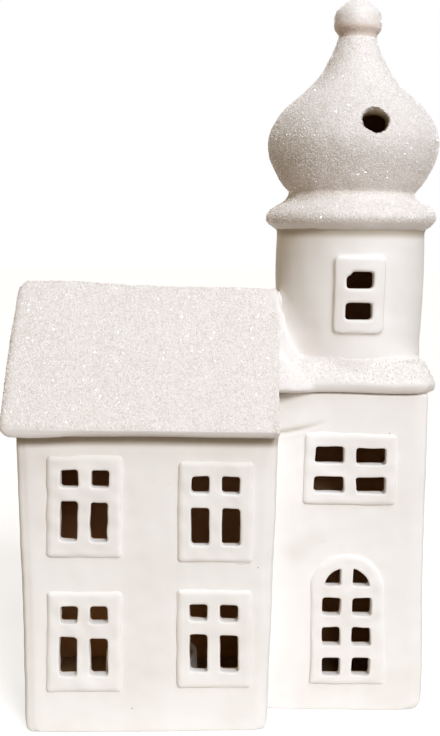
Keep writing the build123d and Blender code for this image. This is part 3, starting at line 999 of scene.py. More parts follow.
@dataclass
class RoofAndLedge:
    """Saddle roof, slip fillets and tower ledge, cast as one glittered skin."""

    glittered: Finish
    nodes: tuple[str, ...] = ("house_roof", "roof_fillets", "tower_ledge")
    voxel_mm: float = 0.9
    rounds: int = 5
    cove_mm: Table = ((-2, 2.2), (0.02, 2.2), (0.12, 1.0), (0.3, 0), (0.5, -1.1), (0.75, -2.4), (-2, -3.6))
    core_mm: Table = ((-3, -1), (-0.7, -1), (-0.7, 29), (-3, 29))
    core_turn_deg: Span = (112.0, 244.0)
    ridge_drop_mm: float = 1.6
    ridge_wave_mm: Table = ((0.0, 0.5), (0.2, 0.5), (0.35, -0.1), (0.6, -0.7), (0.85, -0.2), (1.0, 0.0))
    tower_span_mm: Span = (4.0, -4.0)
    end_reach_mm: float = 1.0
    end_span_mm: Span = (14.0, 2.0)
    eave_lift_mm: float = 1.7
    eave_rise_mm: Span = (6.0, 36.0)
    brow_depth_mm: Span = (6.0, 3.0)
    brow_height_mm: float = 4.6
    edge_span_mm: Span = (4.2, 2.2)
    edge_inset_mm: float = 0.25
    edge_share: float = 0.55
    ridge_top_mm: float = 0.4
    verge_depth_mm: float = 30.0
    lip_mm: float = 0.9
    lip_fill: Table = ((-0.5, 0.75), (0.2, 0.85), (1.0, 1.0), (2.0, 0.85), (3.4, 0.35), (4.6, 0.0))
    lip_side_mm: Span = (0.0, 2.0)
    lip_out_mm: Span = (0.2, 0.8)
    right_draw_mm: Table = ((-12, 0.0), (-9, 0.4), (-3, 1.6), (2, 1.0))
    right_span_mm: Span = (8.0, 24.0)
    feather_mm: float = 2.0
    feather_power: float = 1.7
    feather_sink_mm: float = 0.12
    feather_up_mm: Span = (1.0, 4.0)

    def valley(self) -> Patch:
        """Makes the web of slip from the roof's end over to the drum and the ledge.

        Returns:
            The web.
        """
        roof_lap, roof_slope, roof_inset, lip_inset, drum_lap = 1.2, 1.1, 0.5, 0.6, 0.2
        middle_share, sag, back = 0.42, Vector((-0.7, 1.2, -0.3)), (-0.6, 7.0, -2.0)
        roof_high = box_of("house_roof")[1]
        axis, radius, foot = drum_sizes()
        lip = box_of("tower_ledge")[0].y + lip_inset
        rows = []
        # Height on the roof, tuck behind its slope, then reach and height on the tower's side.
        for roof_up, tuck, side_out, side_up in ((-9.2, 3.0, 13.0, -11.2), (-6.0, 0.0, 13.0, -7.0),
                                                 (0.5, 0.0, 9.2, 0.5), (6.5, 0.0, 5.3, 6.0),
                                                 (15.5, 0.0, 2.2, 15.0)):
            slope_y = (foot + roof_up - roof_high.z) / roof_slope + roof_inset
            start = Vector((roof_high.x - roof_lap, slope_y + tuck, foot + roof_up))
            side_x = roof_high.x + side_out
            face = axis[1] - math.sqrt(radius ** 2 - (side_x - axis[0]) ** 2) - drum_lap
            stop = Vector((side_x, max(lip, face) if side_up > 0 else lip, foot + side_up))
            middle = start.lerp(stop, middle_share) + sag
            rows.append((tuple(start), tuple(middle), tuple(stop)))
        return Patch(tuple(rows), back)

    def bend_roof(self, points: Points) -> None:
        """Lets the ridge sag and wave, and draws out the roof's free end.

        Args:
            points: Points of the skin in millimetres, moved in place.
        """
        low, high = box_of("house_roof")
        along = np.clip((points[:, 0] - low.x) / (high.x - low.x), 0, 1)
        up = np.clip((points[:, 2] - low.z) / (high.z - low.z), 0, 1)
        on_roof = smooth_step(points[:, 0] - box_of("house_walls")[1].x, *self.tower_span_mm)
        points[:, 2] += (follow(self.ridge_wave_mm, along) - self.ridge_drop_mm * along ** 2) * up * on_roof
        points[:, 0] -= self.end_reach_mm * smooth_step(points[:, 0] - low.x, *self.end_span_mm)

    def shape_eave(self, points: Points) -> None:
        """Lifts the eave towards the tower and sets its edge upright.

        Args:
            points: Points of the skin in millimetres, moved in place.
        """
        low = box_of("house_roof")[0]
        behind = -low.y - np.abs(points[:, 1])
        brow = smooth_step(behind, *self.brow_depth_mm)
        brow *= smooth_step(points[:, 2] - low.z, self.brow_height_mm, 0.0)
        points[:, 2] += self.eave_lift_mm * brow * smooth_step(points[:, 0] - low.x, *self.eave_rise_mm)
        edge = np.where(behind < self.brow_depth_mm[1],
                        smooth_step(points[:, 2] - low.z, *self.edge_span_mm), 0.0)
        upright = np.sign(points[:, 1]) * (-low.y - self.edge_inset_mm)
        points[:, 1] += (upright - points[:, 1]) * self.edge_share * edge

    def round_ends(self, points: Points) -> None:
        """Rounds the corners of the roof's two ends.

        Args:
            points: Points of the skin in millimetres, moved in place.
        """
        low, high = box_of("house_roof")
        for across, height, radius in ((1, 1, 5.0), (1, -1, 4.5), (-1, 1, 2.5)):
            side = points[:, 0] - low.x + self.end_reach_mm if across > 0 else high.x - points[:, 0]
            tall = points[:, 2] - low.z if height > 0 else high.z + self.ridge_top_mm - points[:, 2]
            near = (np.abs(points[:, 1]) > self.verge_depth_mm) if across < 0 else (points[:, 0] < 0)
            new_side, new_tall = blunt_corner(side, tall, radius)
            points[:, 0] += np.where(near, across * (new_side - side), 0.0)
            points[:, 2] += np.where(near, height * (new_tall - tall), 0.0)

    def fill_lip(self, points: Points) -> None:
        """Fills the underside of the ledge's lip so that it stands upright.

        Args:
            points: Points of the skin in millimetres, moved in place.
        """
        walls_low, walls_high = box_of("tower_walls")
        amount = follow(self.lip_fill, points[:, 2] - box_of("tower_ledge")[0].z)
        beside = smooth_step(points[:, 0] - walls_low.x, *self.lip_side_mm)
        ahead = np.maximum(walls_low.y - points[:, 1], 0)
        out = np.stack([np.maximum(points[:, 0] - walls_high.x, 0),
                        np.maximum(points[:, 1] - walls_high.y, 0) - ahead], 1)
        reach = np.linalg.norm(out, axis=1)
        share = amount * self.lip_mm * smooth_step(reach, *self.lip_out_mm) * beside
        points[:, :2] += out / np.maximum(reach, TINY)[:, None] * share[:, None]

    def meet_drum(self, points: Points) -> None:
        """Draws in the ledge's right end and thins the slip, so that it runs onto the drum without an edge.

        Args:
            points: Points of the skin in millimetres, moved in place.
        """
        axis, radius, foot = drum_sizes()
        right = smooth_step(points[:, 0] - axis[0], *self.right_span_mm)
        points[:, 0] -= follow(self.right_draw_mm, points[:, 2] - foot) * right
        away = np.linalg.norm(points[:, :2] - axis, axis=1) - radius
        part = np.clip(away / self.feather_mm, 0, 1)
        thin = self.feather_mm * part ** self.feather_power - self.feather_sink_mm * (1 - part)
        thin = np.where(away > 0, thin, away)
        share = np.where(away < self.feather_mm, smooth_step(points[:, 2] - foot, *self.feather_up_mm), 0.0)
        scale = 1 + share * ((radius + thin) / (radius + away) - 1)
        points[:, :2] = axis + (points[:, :2] - axis) * scale[:, None]

    def mark(self, piece: Piece, points: Points) -> None:
        """Says where glitter lies and where raw clay shows.

        Args:
            piece: The skin.
            points: Its points in millimetres.
        """
        web_span, web_thinness, drum_span = (-1.0, 1.5), 0.45, (9.0, 5.0)
        slip_span, rim_span = (-1.0, 3.0), (-6.4, -8.4)
        face_up, face_down, shelter_span = (0.02, 0.22), (0.0, -0.3), (3.0, 4.0)
        axis, radius, foot = drum_sizes()
        walls_low, walls_high = box_of("house_walls")
        upward = mesh_normals(piece.data)[:, 2]
        up = points[:, 2] - foot
        from_drum = np.hypot(points[:, 0] - axis[0], points[:, 1] - axis[1]) - radius
        web = smooth_step(points[:, 0] - box_of("house_roof")[1].x, *web_span)
        bare = np.maximum(smooth_step(from_drum, *drum_span), web) * smooth_step(up, *slip_span)
        rim = smooth_step(up, *rim_span) * web
        strewn = smooth_step(upward, *face_up) * (1 - bare) * (1 - rim) * (1 - web_thinness * web)
        set_mask(piece.data, "glitter", strewn)
        shelter = np.minimum.reduce([points[:, 0] - walls_low.x, walls_high.x - points[:, 0],
                                     points[:, 1] - walls_low.y, walls_high.y - points[:, 1]])
        set_mask(piece.data, "inside", smooth_step(shelter, *shelter_span) * smooth_step(upward, *face_down))

    def build(self) -> Piece:
        """Builds and dresses the skin.

        Returns:
            The finished skin.
        """
        axis, radius, foot = drum_sizes()
        cove = Ring(tuple(axis), (radius, foot), self.cove_mm)
        core = Ring(tuple(axis), (radius, foot), self.core_mm, self.core_turn_deg)
        piece = cast_from("roof_and_ledge_cast", self.nodes, self.voxel_mm, self.rounds, HAND,
                          [cove, core, self.valley()])
        points = mesh_points(piece.data)
        for step in (self.bend_roof, self.shape_eave, self.round_ends, self.fill_lip, self.meet_drum):
            step(points)
        set_points(piece.data, points)
        self.mark(piece, points)
        dress(piece, self.glittered, Body.HOUSE, self.nodes)
        return piece


@dataclass
class Tower(CastWalls):
    """Square tower with its window and arched door."""

    voxel_mm: float = 0.85
    seam_height_mm: Span = (0.4, 113.0)
    seam_width_mm: float = 3.4
    seam_depth_mm: float = 1.8
    right_edge_mm: Table = ((0, -2.2), (1.2, -0.8), (3, 0.4), (8, 0.8), (22, 0.6), (45, 0.1), (95, -0.35),
                            (110, -0.2), (122, 0.2))
    front_span_mm: Span = (1.2, 0.6)
    crease_curve: Place = (109.6, 0.07, 0.0075)
    crease_fade_mm: Span = (24.0, 8.0)
    crease_width_mm: float = 0.75
    crease_depth_mm: float = 0.55
    groove_painted_shade: float = 0.8
    swell_drop_mm: float = 1.8
    swell_width_mm: float = 1.3
    swell_mm: float = 0.25
    window_seed: int = 31
    door_seed: int = 32
    door_flare_mm: float = 1.5

    def build(self) -> None:
        """Builds and dresses the tower walls and frames."""
        low, high = box_of("tower_walls")
        corner = box_of("house_walls")[1]
        bottom, top = self.seam_height_mm
        seam = Weld((corner.x - self.lean_mm, corner.y, bottom), (corner.x, corner.y, top),
                    self.seam_width_mm, self.seam_depth_mm)
        piece = cast_from("tower_walls_cast", ["tower_walls"], self.voxel_mm, self.rounds, HAND, [seam])
        points = mesh_points(piece.data)
        self.mark_inside(piece, np.minimum.reduce([high.x - points[:, 0], points[:, 1] - low.y,
                                                   high.y - points[:, 1]]))
        across, deep = crisp_corner(high.x - points[:, 0], points[:, 1] - low.y, self.corner_mm)
        points[:, 0], points[:, 1] = high.x - across, low.y + deep
        points[:, 0] += self.edge_shift(self.right_edge_mm, points[:, 2], high.x - points[:, 0])
        self.mark_front(piece, points, low)
        dress(piece, self.bisque, Body.HOUSE, ["tower_walls"])
        PlateFrame("tower_window", self.bisque, self.window_seed).build()
        PlateFrame("tower_door", self.bisque, self.door_seed, arched=True,
                   flare_mm=self.door_flare_mm).build()

    def mark_front(self, piece: Piece, points: Points, low: Vector) -> None:
        """Presses the slip groove beside the eave into the front, darkens it with painted shade, and rubs a
        faint smudge under it.

        Args:
            piece: The tower walls.
            points: Their points in millimetres.
            low: Lowest corner of the tower walls.
        """
        front = smooth_step(points[:, 1] - low.y, *self.front_span_mm)
        across = points[:, 0] - low.x
        base, slant, bow = self.crease_curve
        height = points[:, 2] - (base + slant * across + bow * across ** 2)
        share = smooth_step(across, *self.crease_fade_mm) * front
        groove = np.exp(-(height / self.crease_width_mm) ** 2) * share
        swell = np.exp(-((height + self.swell_drop_mm) / self.swell_width_mm) ** 2) * share
        points[:, 1] += self.crease_depth_mm * groove - self.swell_mm * swell
        set_points(piece.data, points)
        # Painted shade in the pressed groove.
        set_mask(piece.data, "painted_shade", self.groove_painted_shade * groove)
        rubbed = np.zeros(len(points))
        for x, z, wide, tall, strength in ((10.5, 63.5, 6.0, 4.8, 0.55), (18.0, 69.0, 5.0, 3.6, 0.25)):
            rubbed += strength * np.exp(-((across - x) / wide) ** 2 - ((points[:, 2] - z) / tall) ** 2)
        set_mask(piece.data, "smudge", rubbed * front)


@dataclass
class DomedDrum:
    """Round drum with its window, collar, onion dome and finial."""

    bisque: Finish
    glittered: Finish
    drum_voxel_mm: float = 0.6
    finial_voxel_mm: float = 0.45
    dome_voxel_mm: float = 0.72
    rounds: int = 4
    dome_ripple: Wobble = Wobble(9, 0.05, 42)
    neck_core_mm: Table = ((1.0, -3.5), (7.25, -3.5), (7.3, 1.5), (1.0, 1.5))
    collar_joint_mm: Table = ((-3, -3), (-0.1, -3), (0, 0), (0.9, 0.8), (0.9, 2.2), (-3, 2.2))
    torn_bit_mm: Place = (-3.3, -0.2, 33.0)
    torn_radii_mm: Place = (1.15, 1.3, 0.95)
    lean_mm: Table = ((-14.0, 0.0), (18.0, 0.3), (30.0, 0.7), (38.0, 1.1), (53.0, 0.9), (75.0, 0.85))
    girth: Table = ((-5.0, 1.0), (-2.5, 0.985), (0.2, 0.973), (3.0, 0.996), (5.0, 1.0), (20.0, 1.0),
                    (27.4, 0.983), (33.7, 0.958), (37.5, 0.936), (40.0, 0.935), (43.2, 0.952), (46.4, 0.976),
                    (52.0, 1.0))
    sag_mm: Table = ((-14.6, 0.0), (-11.5, 0.8), (-9.0, 1.2), (-5.5, 0.9), (-1.0, 0.0))
    sag_width_mm: float = 60.0
    foot_draw_mm: float = 0.8
    foot_half_mm: float = 29.0
    foot_span_mm: Span = (-34.0, -62.0)
    vent_height_mm: float = 26.4
    vent_turn_deg: float = 8.5
    vent_edge_mm: float = 5.7
    vent_side_mm: float = 0.7
    vent_drop_mm: float = 1.3
    collar_shade_mm: Span = (3.8, 0.8)
    belly_rise_mm: Span = (2.0, 12.0)
    belly_fall_mm: Span = (46.0, 28.0)
    belly_painted_shade: float = 0.09
    finial_underside_shade: float = 0.34
    finial_glitter: float = 0.5

    def settle(self, points: Points) -> None:
        """Leans and narrows the turned pieces the way the fired ones stand.

        Args:
            points: Points in millimetres, moved in place.
        """
        axis = centre_of("onion_dome")
        height = points[:, 2] - box_of("onion_dome")[0].z
        middle = np.array([axis.x, axis.y])
        points[:, :2] = middle + (points[:, :2] - middle) * follow(self.girth, height)[:, None]
        right = np.clip((points[:, 0] - axis.x) / self.foot_half_mm, 0, 1)
        points[:, 0] -= self.foot_draw_mm * right * smooth_step(height, *self.foot_span_mm)
        points[:, 0] += follow(self.lean_mm, height)
        left = np.clip(0.5 - (points[:, 0] - axis.x) / self.sag_width_mm, 0, 1)
        points[:, 2] -= follow(self.sag_mm, height) * left

    def slant_vent(self, points: Points) -> np.ndarray:
        """Slants the vent so that its upper wall shows, as it was cut by hand.

        Args:
            points: Points of the dome in millimetres, moved in place.

        Returns:
            Share of raw clay under painted shade at each point: 1 in the vent's wall.
        """
        levels_per_mm, level_count, least_ahead, brim_rise = 2, 131, 10.0, 4.0
        wall_span, wall_width, brim_width, vent_shade_span = (0.5, 2.6), (9.8, 6.0), (8.5, 5.2), (0.4, 0.8)
        axis = centre_of("onion_dome")
        turn = math.radians(self.vent_turn_deg)
        out, side = np.array([math.sin(turn), -math.cos(turn)]), np.array([math.cos(turn), math.sin(turn)])
        flat = points[:, :2] - np.array([axis.x, axis.y])
        height = points[:, 2] - box_of("onion_dome")[0].z
        up = height - self.vent_height_mm
        girth = np.linalg.norm(flat, axis=1)
        outer = np.zeros(level_count)
        np.maximum.at(outer, np.clip((height * levels_per_mm).astype(int), 0, level_count - 1), girth)
        levels = (np.arange(level_count) + 0.5) / levels_per_mm
        face = np.interp(height, levels, outer)
        ahead = flat @ out > least_ahead
        wide = np.hypot(flat @ side, up)
        share = smooth_step(face - girth, *wall_span) * ahead * smooth_step(wide, *wall_width)
        brim = self.vent_drop_mm * smooth_step(wide, *brim_width) * np.clip(up / brim_rise, 0, 1) * ahead
        lower = np.interp(height - brim, levels, outer)
        points[:, :2] += flat * ((lower - face) / np.maximum(girth, 1.0))[:, None]
        points[:, 2] -= brim
        points[:, :2] -= self.vent_side_mm * share[:, None] * side
        points[:, 2] -= self.vent_drop_mm * share
        return smooth_step(face - girth, *vent_shade_span) * (wide < self.vent_edge_mm) * ahead

    def build(self) -> tuple[Piece, Piece]:
        """Builds and dresses the turned pieces.

        Returns:
            The dome with its collar, and the finial, which carry glitter.
        """
        axis = centre_of("onion_dome")
        neck = box_of("onion_dome")[1].z
        low, high = box_of("tower_drum")
        middle, radius = (axis.x, axis.y), (high.x - low.x) / 2
        core = Ring(middle, (0.0, neck), self.neck_core_mm)
        joint = Ring(middle, (radius, high.z), self.collar_joint_mm)
        right, ahead, up = self.torn_bit_mm
        bit = Lump((axis.x + right, axis.y - radius + ahead, low.z + up), self.torn_radii_mm)
        self.turned_piece(["tower_drum", "drum_window"], self.bisque, self.drum_voxel_mm, HAND,
                          [joint, bit])
        ball = self.turned_piece(["finial"], self.glittered, self.finial_voxel_mm, HAND,
                                 [core])
        dome = self.turned_piece(["onion_dome", "dome_collar"], self.glittered,
                                 self.dome_voxel_mm, [*HAND, self.dome_ripple])
        return dome, ball

    def turned_piece(self, nodes: Sequence[str], material: Finish, voxel_mm: float,
                     wobbles: Sequence[Wobble], fillers: Sequence[Filler] = ()) -> Piece:
        """Builds one turned piece.

        Args:
            nodes: Nodes of the piece.
            material: Its material.
            voxel_mm: Size of its facets.
            wobbles: Its unevenness.
            fillers: Bits of slip that fill its seams.

        Returns:
            The finished piece.
        """
        piece = cast_from(nodes[0] + "_cast", nodes, voxel_mm, self.rounds, wobbles, fillers)
        points = mesh_points(piece.data)
        clay_and_painted_shade = self.slant_vent(points) if nodes[0] == "onion_dome" else np.zeros(len(points))
        self.settle(points)
        set_points(piece.data, points)
        self.mark(piece, nodes[0], points, clay_and_painted_shade)
        dress(piece, material, Body.HOUSE, nodes)
        return piece

    def mark(self, piece: Piece, node: str, points: Points, clay_and_painted_shade: np.ndarray) -> None:
        """Says where raw clay, painted shade and glitter show on a turned piece.

        Args:
            piece: The piece.
            node: Its first node.
            points: Its points in millimetres.
            clay_and_painted_shade: Share of shaded clay in the vent.
        """
        facing_in, ball_under = (-0.1, -0.4), (0.35, -0.45)
        glitter_facing, brow_span = (-0.8, -0.4), (-6.0, -2.0)
        axis = centre_of("onion_dome")
        normals = mesh_normals(piece.data)
        outward = points[:, :2] - np.array([axis.x, axis.y])
        radius = np.maximum(np.linalg.norm(outward, axis=1), TINY)
        inside = smooth_step(np.einsum("ij,ij->i", outward, normals[:, :2]) / radius, *facing_in)
        if node == "finial":
            # Painted shade: the ball's underside takes the brown clay tone through the inside mask.
            inside = self.finial_underside_shade * smooth_step(normals[:, 2], *ball_under)
        if node == "onion_dome":
            # The belly is a trace duskier than the rest of the dome, as in the photograph: painted shade.
            height = points[:, 2] - box_of(node)[0].z
            belly = smooth_step(height, *self.belly_rise_mm) * smooth_step(height, *self.belly_fall_mm)
            clay_and_painted_shade = np.maximum(clay_and_painted_shade, self.belly_painted_shade * belly)
        set_mask(piece.data, "inside", inside)
        set_mask(piece.data, "clay_and_painted_shade", clay_and_painted_shade * (1 - inside))
        # Painted shade on the drum under the collar's brow.
        shade_below(piece.data, points, box_of("tower_drum")[1].z, self.collar_shade_mm)
        above_brow = smooth_step(points[:, 2] - box_of("dome_collar")[1].z, *brow_span)
        strewn = np.maximum(smooth_step(normals[:, 2], *glitter_facing), above_brow)
        strewn *= (1 - inside) * (1 - clay_and_painted_shade)
        set_mask(piece.data, "glitter", strewn * (self.finial_glitter if node == "finial" else 1.0))


@dataclass
class StrewnGlitter:
    """Clear glitter grains strewn over the glittered skins by a node tree."""

    grain: Finish
    cover: float = 0.66
    tilt_rad: float = 0.72
    chip_radius: float = 0.72
    chip_depth: float = 0.7
    least_size: Place = (0.55, 0.55, 0.3)
    most_size: Place = (1.25, 1.25, 0.7)
    first_seed: int = 5

    def tree(self) -> Tree:
        """Builds the node tree that strews the grains.

        Returns:
            The node tree, with its sizes as named inputs.
        """
        tree = bpy.data.node_groups.new("strewn_glitter", "GeometryNodeTree")
        for name, kind in (("Geometry", "NodeSocketGeometry"), ("Density", "NodeSocketFloat"),
                           ("Grain", "NodeSocketFloat"), ("Seed", "NodeSocketInt"),
                           ("Finish", "NodeSocketMaterial")):
            tree.interface.new_socket(name, in_out="INPUT", socket_type=kind)
        tree.interface.new_socket("Geometry", in_out="OUTPUT", socket_type="NodeSocketGeometry")
        given = add_node(tree, "NodeGroupInput").outputs
        strewn = add_node(tree, "GeometryNodeInputNamedAttribute", {"data_type": "FLOAT"},
                          {"Name": "glitter"})
        density = add_node(tree, "ShaderNodeMath", {"operation": "MULTIPLY"},
                           {0: strewn.outputs["Attribute"], 1: given["Density"]})
        points = add_node(tree, "GeometryNodeDistributePointsOnFaces", {"distribute_method": "RANDOM"},
                          {"Mesh": given["Geometry"], "Density": density.outputs[0], "Seed": given["Seed"]})
        chip = add_node(tree, "GeometryNodeMeshCone", None,
                        {"Vertices": 3, "Radius Top": 0.0, "Radius Bottom": self.chip_radius,
                         "Depth": self.chip_depth})
        tilt = add_node(tree, "FunctionNodeRandomValue", {"data_type": "FLOAT_VECTOR"},
                        {0: (-self.tilt_rad, -self.tilt_rad, 0.0),
                         1: (self.tilt_rad, self.tilt_rad, math.tau), "Seed": given["Seed"]})
        tilted = add_node(tree, "FunctionNodeEulerToRotation", None, {0: tilt.outputs[0]})
        turn = add_node(tree, "FunctionNodeRotateRotation", {"rotation_space": "LOCAL"},
                        {0: points.outputs["Rotation"], 1: tilted.outputs[0]})
        size = add_node(tree, "FunctionNodeRandomValue", {"data_type": "FLOAT_VECTOR"},
                        {0: self.least_size, 1: self.most_size, "Seed": given["Seed"]})
        scaled = add_node(tree, "ShaderNodeVectorMath", {"operation": "SCALE"},
                          {0: size.outputs[0], "Scale": given["Grain"]})
        placed = add_node(tree, "GeometryNodeInstanceOnPoints", None,
                          {"Points": points.outputs["Points"], "Instance": chip.outputs["Mesh"],
                           "Rotation": turn.outputs[0], "Scale": scaled.outputs[0]})
        tint = add_node(tree, "FunctionNodeRandomValue", {"data_type": "FLOAT"}, {"Seed": given["Seed"]})
        stored = add_node(tree, "GeometryNodeStoreNamedAttribute",
                          {"data_type": "FLOAT", "domain": "INSTANCE"},
                          {"Geometry": placed.outputs["Instances"], "Name": "tint", "Value": tint.outputs[1]})
        real = add_node(tree, "GeometryNodeRealizeInstances", None, {"Geometry": stored.outputs["Geometry"]})
        dressed = add_node(tree, "GeometryNodeSetMaterial", None,
                           {"Geometry": real.outputs["Geometry"], "Material": given["Finish"]})
        add_node(tree, "NodeGroupOutput", None, {"Geometry": dressed.outputs["Geometry"]})
        return tree

    def strew(self, tree: Tree, base: Piece, name: str, size_mm: float,
              seed: int) -> None:
        """Strews grains over one skin.

        Args:
            tree: The node tree.
            base: Skin that carries them.
            name: Name of the new piece.
            size_mm: Size of its grains.
            seed: Seed of their places.
        """
        carrier = new_object(name + "_carrier", base.data.copy())
        strew = carrier.modifiers.new("strewn", "NODES")
        strew.node_group = tree
        values = {"Density": self.cover / (size_mm * MM) ** 2, "Grain": size_mm * MM, "Seed": seed,
                  "Finish": self.grain}
        for item in tree.interface.items_tree:
            if item.item_type == "SOCKET" and item.in_out == "INPUT" and item.name in values:
                strew[item.identifier] = values[item.name]
        grains = new_object(name, plain_mesh(carrier))
        bpy.data.objects.remove(carrier)
        dress(grains, self.grain, Body.HOUSE)

    def build(self, skins: Sequence[tuple[str, Piece, float]]) -> None:
        """Strews grains over each skin.

        Args:
            skins: Name of the new piece, skin that carries it and size of its grains in millimetres.
        """
        tree = self.tree()
        for index, (name, skin, size_mm) in enumerate(skins):
            self.strew(tree, skin, name, size_mm, self.first_seed + index)


@dataclass
class Tealight:
    """Battery tealight that stands inside the house."""

    finishes: Mapping[str, tuple[Finish, Slot]]

    def build(self) -> None:
        """Dresses the tealight's solids."""
        for node, (material, slot) in self.finishes.items():
            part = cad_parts[node]
            part.data.materials.clear()
            part.data.materials.append(material)
            LOG.info("%s dressed as %s", node, slot.value)


@dataclass(frozen=True)
class Lamp:
    """Soft studio lamp: a far one, its width in degrees, or a softbox, its width in metres."""

    name: str
    kind: LampKind
    place: Place
    power: float
    width: float
    colour: str
    aim: Place = (0.0, 0.0, 0.0)

    def build(self) -> None:
        """Adds the lamp to the scene."""
        data = bpy.data.lights.new(self.name, self.kind.value)
        data.energy = self.power
        data.color = linear(self.colour)[:3]
        made = new_object(self.name, data)
        made.location = self.place
        made.rotation_euler = (Vector(self.aim) - Vector(self.place)).to_track_quat("-Z", "Y").to_euler()
        if self.kind is LampKind.FAR:
            data.angle = math.radians(self.width)
        else:
            data.shape = "SQUARE"
            data.size = self.width
            made.visible_camera = False


@dataclass
class Studio:
    """Camera at the photograph's place, soft lamps, pale floor and white surroundings."""

    focal_px: float = 1181.4
    place_mm: Place = (-3.4, -462.6, 184.4)
    pitch: float = 0.112
    roll: float = 0.013
    sensor_mm: float = 36.0
    nearest: float = 0.01
    house_middle: Place = (0.0, 0.0, 0.12)
    floor_half: float = 6.0
    table_inset_mm: float = 5.4
    table_edge_mm: float = 1.8
    table_lift_mm: float = 0.05
    floor_seen: str = "#C4C4C4"
    floor_near: str = "#D8D3CE"
    floor_far: str = "#745020"
    floor_fade: Span = (0.08, 0.36)
    floor_glow: float = 0.7
    # Brown of the sheet of painted shade under the house.
    table: str = "#A08560"
    table_roughness: float = 0.9
    room: str = "#FFD27C"
    room_strength: float = 0.13

    def build(self) -> None:
        """Builds the camera, lamps, floor and world."""
        self.camera()
        for lamp in (Lamp("key", LampKind.FAR, (0.296, -0.814, 0.5), 2.28, 17.0, "#F6FAFF"),
                     Lamp("left", LampKind.FAR, (-0.9, -0.4, 0.2), 0.2, 70.0, "#FFDF90"),
                     Lamp("rear", LampKind.FAR, (-0.35, 0.85, 0.4), 0.9, 60.0, "#FFFDFB"),
                     Lamp("top", LampKind.SOFTBOX, (0.16, -0.28, 0.61), 1.0, 0.25, "#E0EBFF",
                          self.house_middle),
                     Lamp("right", LampKind.SOFTBOX, (0.42, -0.36, 0.24), 0.28, 0.2, "#F8FBFF",
                          self.house_middle)):
            lamp.build()
        self.floor()
        self.world()

    def camera(self) -> None:
        """Places the camera."""
        data = bpy.data.cameras.new("photo_camera")
        data.sensor_fit = "VERTICAL"
        data.sensor_height = self.sensor_mm
        data.lens = self.focal_px / PHOTO_HEIGHT * data.sensor_height
        data.clip_start = self.nearest
        view = new_object("photo_camera", data)
        forward = Vector((0, math.cos(self.pitch), -math.sin(self.pitch)))
        right = Vector((1, 0, 0))
        up = right.cross(forward)
        turned = (math.cos(self.roll) * right + math.sin(self.roll) * up,
                  math.cos(self.roll) * up - math.sin(self.roll) * right, -forward)
        turn = Matrix(turned).transposed().to_4x4()
        view.matrix_world = Matrix.Translation(Vector(self.place_mm) * MM) @ turn
        bpy.context.scene.camera = view

    def floor(self) -> None:
        """Adds the floor: white with the object's shadow to the eye, duller in the light it throws back."""
        mesh = bpy.data.meshes.new("studio_floor")
        low, high = box_of("house_walls")
        tower_low, tower_high = box_of("tower_walls")
        left, right = low.x + self.table_inset_mm, high.x - self.table_inset_mm
        front, back = low.y + self.table_edge_mm, high.y - self.table_edge_mm
        step, far_right = tower_low.y + self.table_edge_mm, tower_high.x - 2 * self.table_edge_mm
        # Under the house lies a brown sheet of painted shade in place of the glowing floor.
        under = [(left, front - FOOT_SKEW_MM), (right, front + FOOT_SKEW_MM), (right, step),
                 (far_right, step), (far_right, back), (left, back)]
        corners = [(x * self.floor_half, y * self.floor_half, 0)
                   for x, y in ((-1, -1), (1, -1), (1, 1), (-1, 1))]
        mesh.from_pydata(corners + [(x * MM, y * MM, self.table_lift_mm * MM) for x, y in under], [],
                         [(0, 1, 2, 3), tuple(range(4, 10))])
        mesh.polygons[1].material_index = 1
        ground = new_object("studio_floor", mesh)
        mesh.materials.append(self.pale_floor())
        mesh.materials.append(self.painted_shade_sheet())

    def pale_floor(self) -> Finish:
        """Makes the floor's finish: an even white to the eye, warm and dull in the light that it throws back.

        Returns:
            The finished material.
        """
        made = bpy.data.materials.new("pale_floor")
        made.use_nodes = True
        tree = made.node_tree
        tree.nodes.clear()
        coords = add_node(tree, "ShaderNodeTexCoord").outputs["Object"]
        away = add_node(tree, "ShaderNodeVectorMath", {"operation": "LENGTH"}, {0: coords})
        fade = stretch(tree, away.outputs["Value"], self.floor_fade)
        thrown = blend_colours(tree, fade, self.floor_near, self.floor_far)
        colour = blend_colours(tree, seen_share(tree), thrown, self.floor_seen)
        matte = add_node(tree, "ShaderNodeBsdfDiffuse", None, {"Color": colour})
        glow = add_node(tree, "ShaderNodeMath", {"operation": "MULTIPLY"},
                        {0: seen_share(tree), 1: self.floor_glow})
        white = add_node(tree, "ShaderNodeEmission", None, {"Color": WHITE, "Strength": glow.outputs[0]})
        lit = add_node(tree, "ShaderNodeAddShader", None, {0: matte.outputs[0], 1: white.outputs[0]})
        add_node(tree, "ShaderNodeOutputMaterial", None, {"Surface": lit.outputs[0]})
        return made

    def painted_shade_sheet(self) -> Finish:
        """Makes the plain matte table under the open house: a brown sheet of painted shade, without the
        floor's glow.

        Returns:
            The finished material.
        """
        return Coat("painted_shade_sheet").finish({"Base Color": linear(self.table),
                                            "Roughness": self.table_roughness})

    def world(self) -> None:
        """Makes the surroundings white to the camera and softly lit otherwise."""
        world = bpy.data.worlds.new("white_surroundings")
        bpy.context.scene.world = world
        world.use_nodes = True
        tree = world.node_tree
        tree.nodes.clear()
        soft = add_node(tree, "ShaderNodeBackground", None,
                        {"Color": linear(self.room), "Strength": self.room_strength})
        white = add_node(tree, "ShaderNodeBackground", None, {"Color": WHITE, "Strength": 1.0})
        both = add_node(tree, "ShaderNodeMixShader", None,
                        {0: seen_share(tree), 1: soft.outputs[0], 2: white.outputs[0]})
        add_node(tree, "ShaderNodeOutputWorld", None, {"Surface": both.outputs[0]})


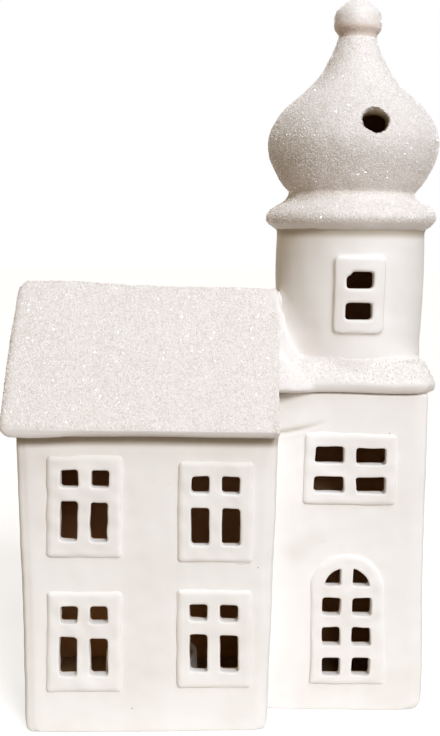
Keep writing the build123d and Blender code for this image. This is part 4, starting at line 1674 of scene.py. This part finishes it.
def seen_share(tree: Tree) -> Socket:
    """Gives 1 for rays that show the surroundings directly, in gloss or through glass.

    Args:
        tree: Node tree that gets the nodes.

    Returns:
        The share.
    """
    ray = add_node(tree, "ShaderNodeLightPath").outputs
    first = add_node(tree, "ShaderNodeMath", {"operation": "MAXIMUM"},
                     {0: ray["Is Camera Ray"], 1: ray["Is Glossy Ray"]})
    both = add_node(tree, "ShaderNodeMath", {"operation": "MAXIMUM"},
                    {0: first.outputs[0], 1: ray["Is Transmission Ray"]})
    return both.outputs[0]


def main() -> None:
    """Builds the whole scene in order."""
    logging.basicConfig(level=logging.INFO, format="%(message)s")
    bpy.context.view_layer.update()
    bpy.context.scene.view_settings.view_transform = "Standard"
    bisque, glittered = Bisque().material(), GlitteredBisque().material()
    HouseBlock(bisque).build()
    roof = RoofAndLedge(glittered).build()
    Tower(bisque).build()
    dome, ball = DomedDrum(bisque, glittered).build()
    StrewnGlitter(GlitterGrain().material()).build([("roof_glitter", roof, 0.68),
                                                    ("dome_glitter", dome, 0.54),
                                                    ("finial_glitter", ball, 0.45)])
    wax = Moulded("moulded_white_polypropylene", "#F0EBE0", "#E6DFD0").material()
    flame = Moulded("translucent_flame_plastic", "#FFE9C4", "#F7D79E", roughness=0.5, grain_mm=0.5,
                    transmission=0.12).material()
    epoxy = Moulded("cast_amber_epoxy", "#F2C46A", "#E0A848", roughness=0.1, grain_mm=0.5,
                    transmission=0.6).material()
    black = Moulded("moulded_black_abs", "#1B1B1D", "#26262A", roughness=0.5).material()
    steel = Plated("nickel_plated_cell_steel", "#C9C8C4", "#B2B0AA").material()
    nickel = Plated("nickel_plated_spring_brass", "#C8C2B2", "#AFA78F", roughness=0.35).material()
    Tealight({"light_case": (wax, Slot.PLASTIC), "light_chassis": (wax, Slot.PLASTIC),
              "battery_cover": (wax, Slot.PLASTIC), "flame_lens": (flame, Slot.FLAME),
              "lamp": (epoxy, Slot.EPOXY), "coin_cell": (steel, Slot.STEEL),
              "negative_contact": (nickel, Slot.NICKEL), "positive_contact": (nickel, Slot.NICKEL),
              "switch_slider": (black, Slot.BLACK)}).build()
    Studio().build()


if __name__ == "__main__":
    main()
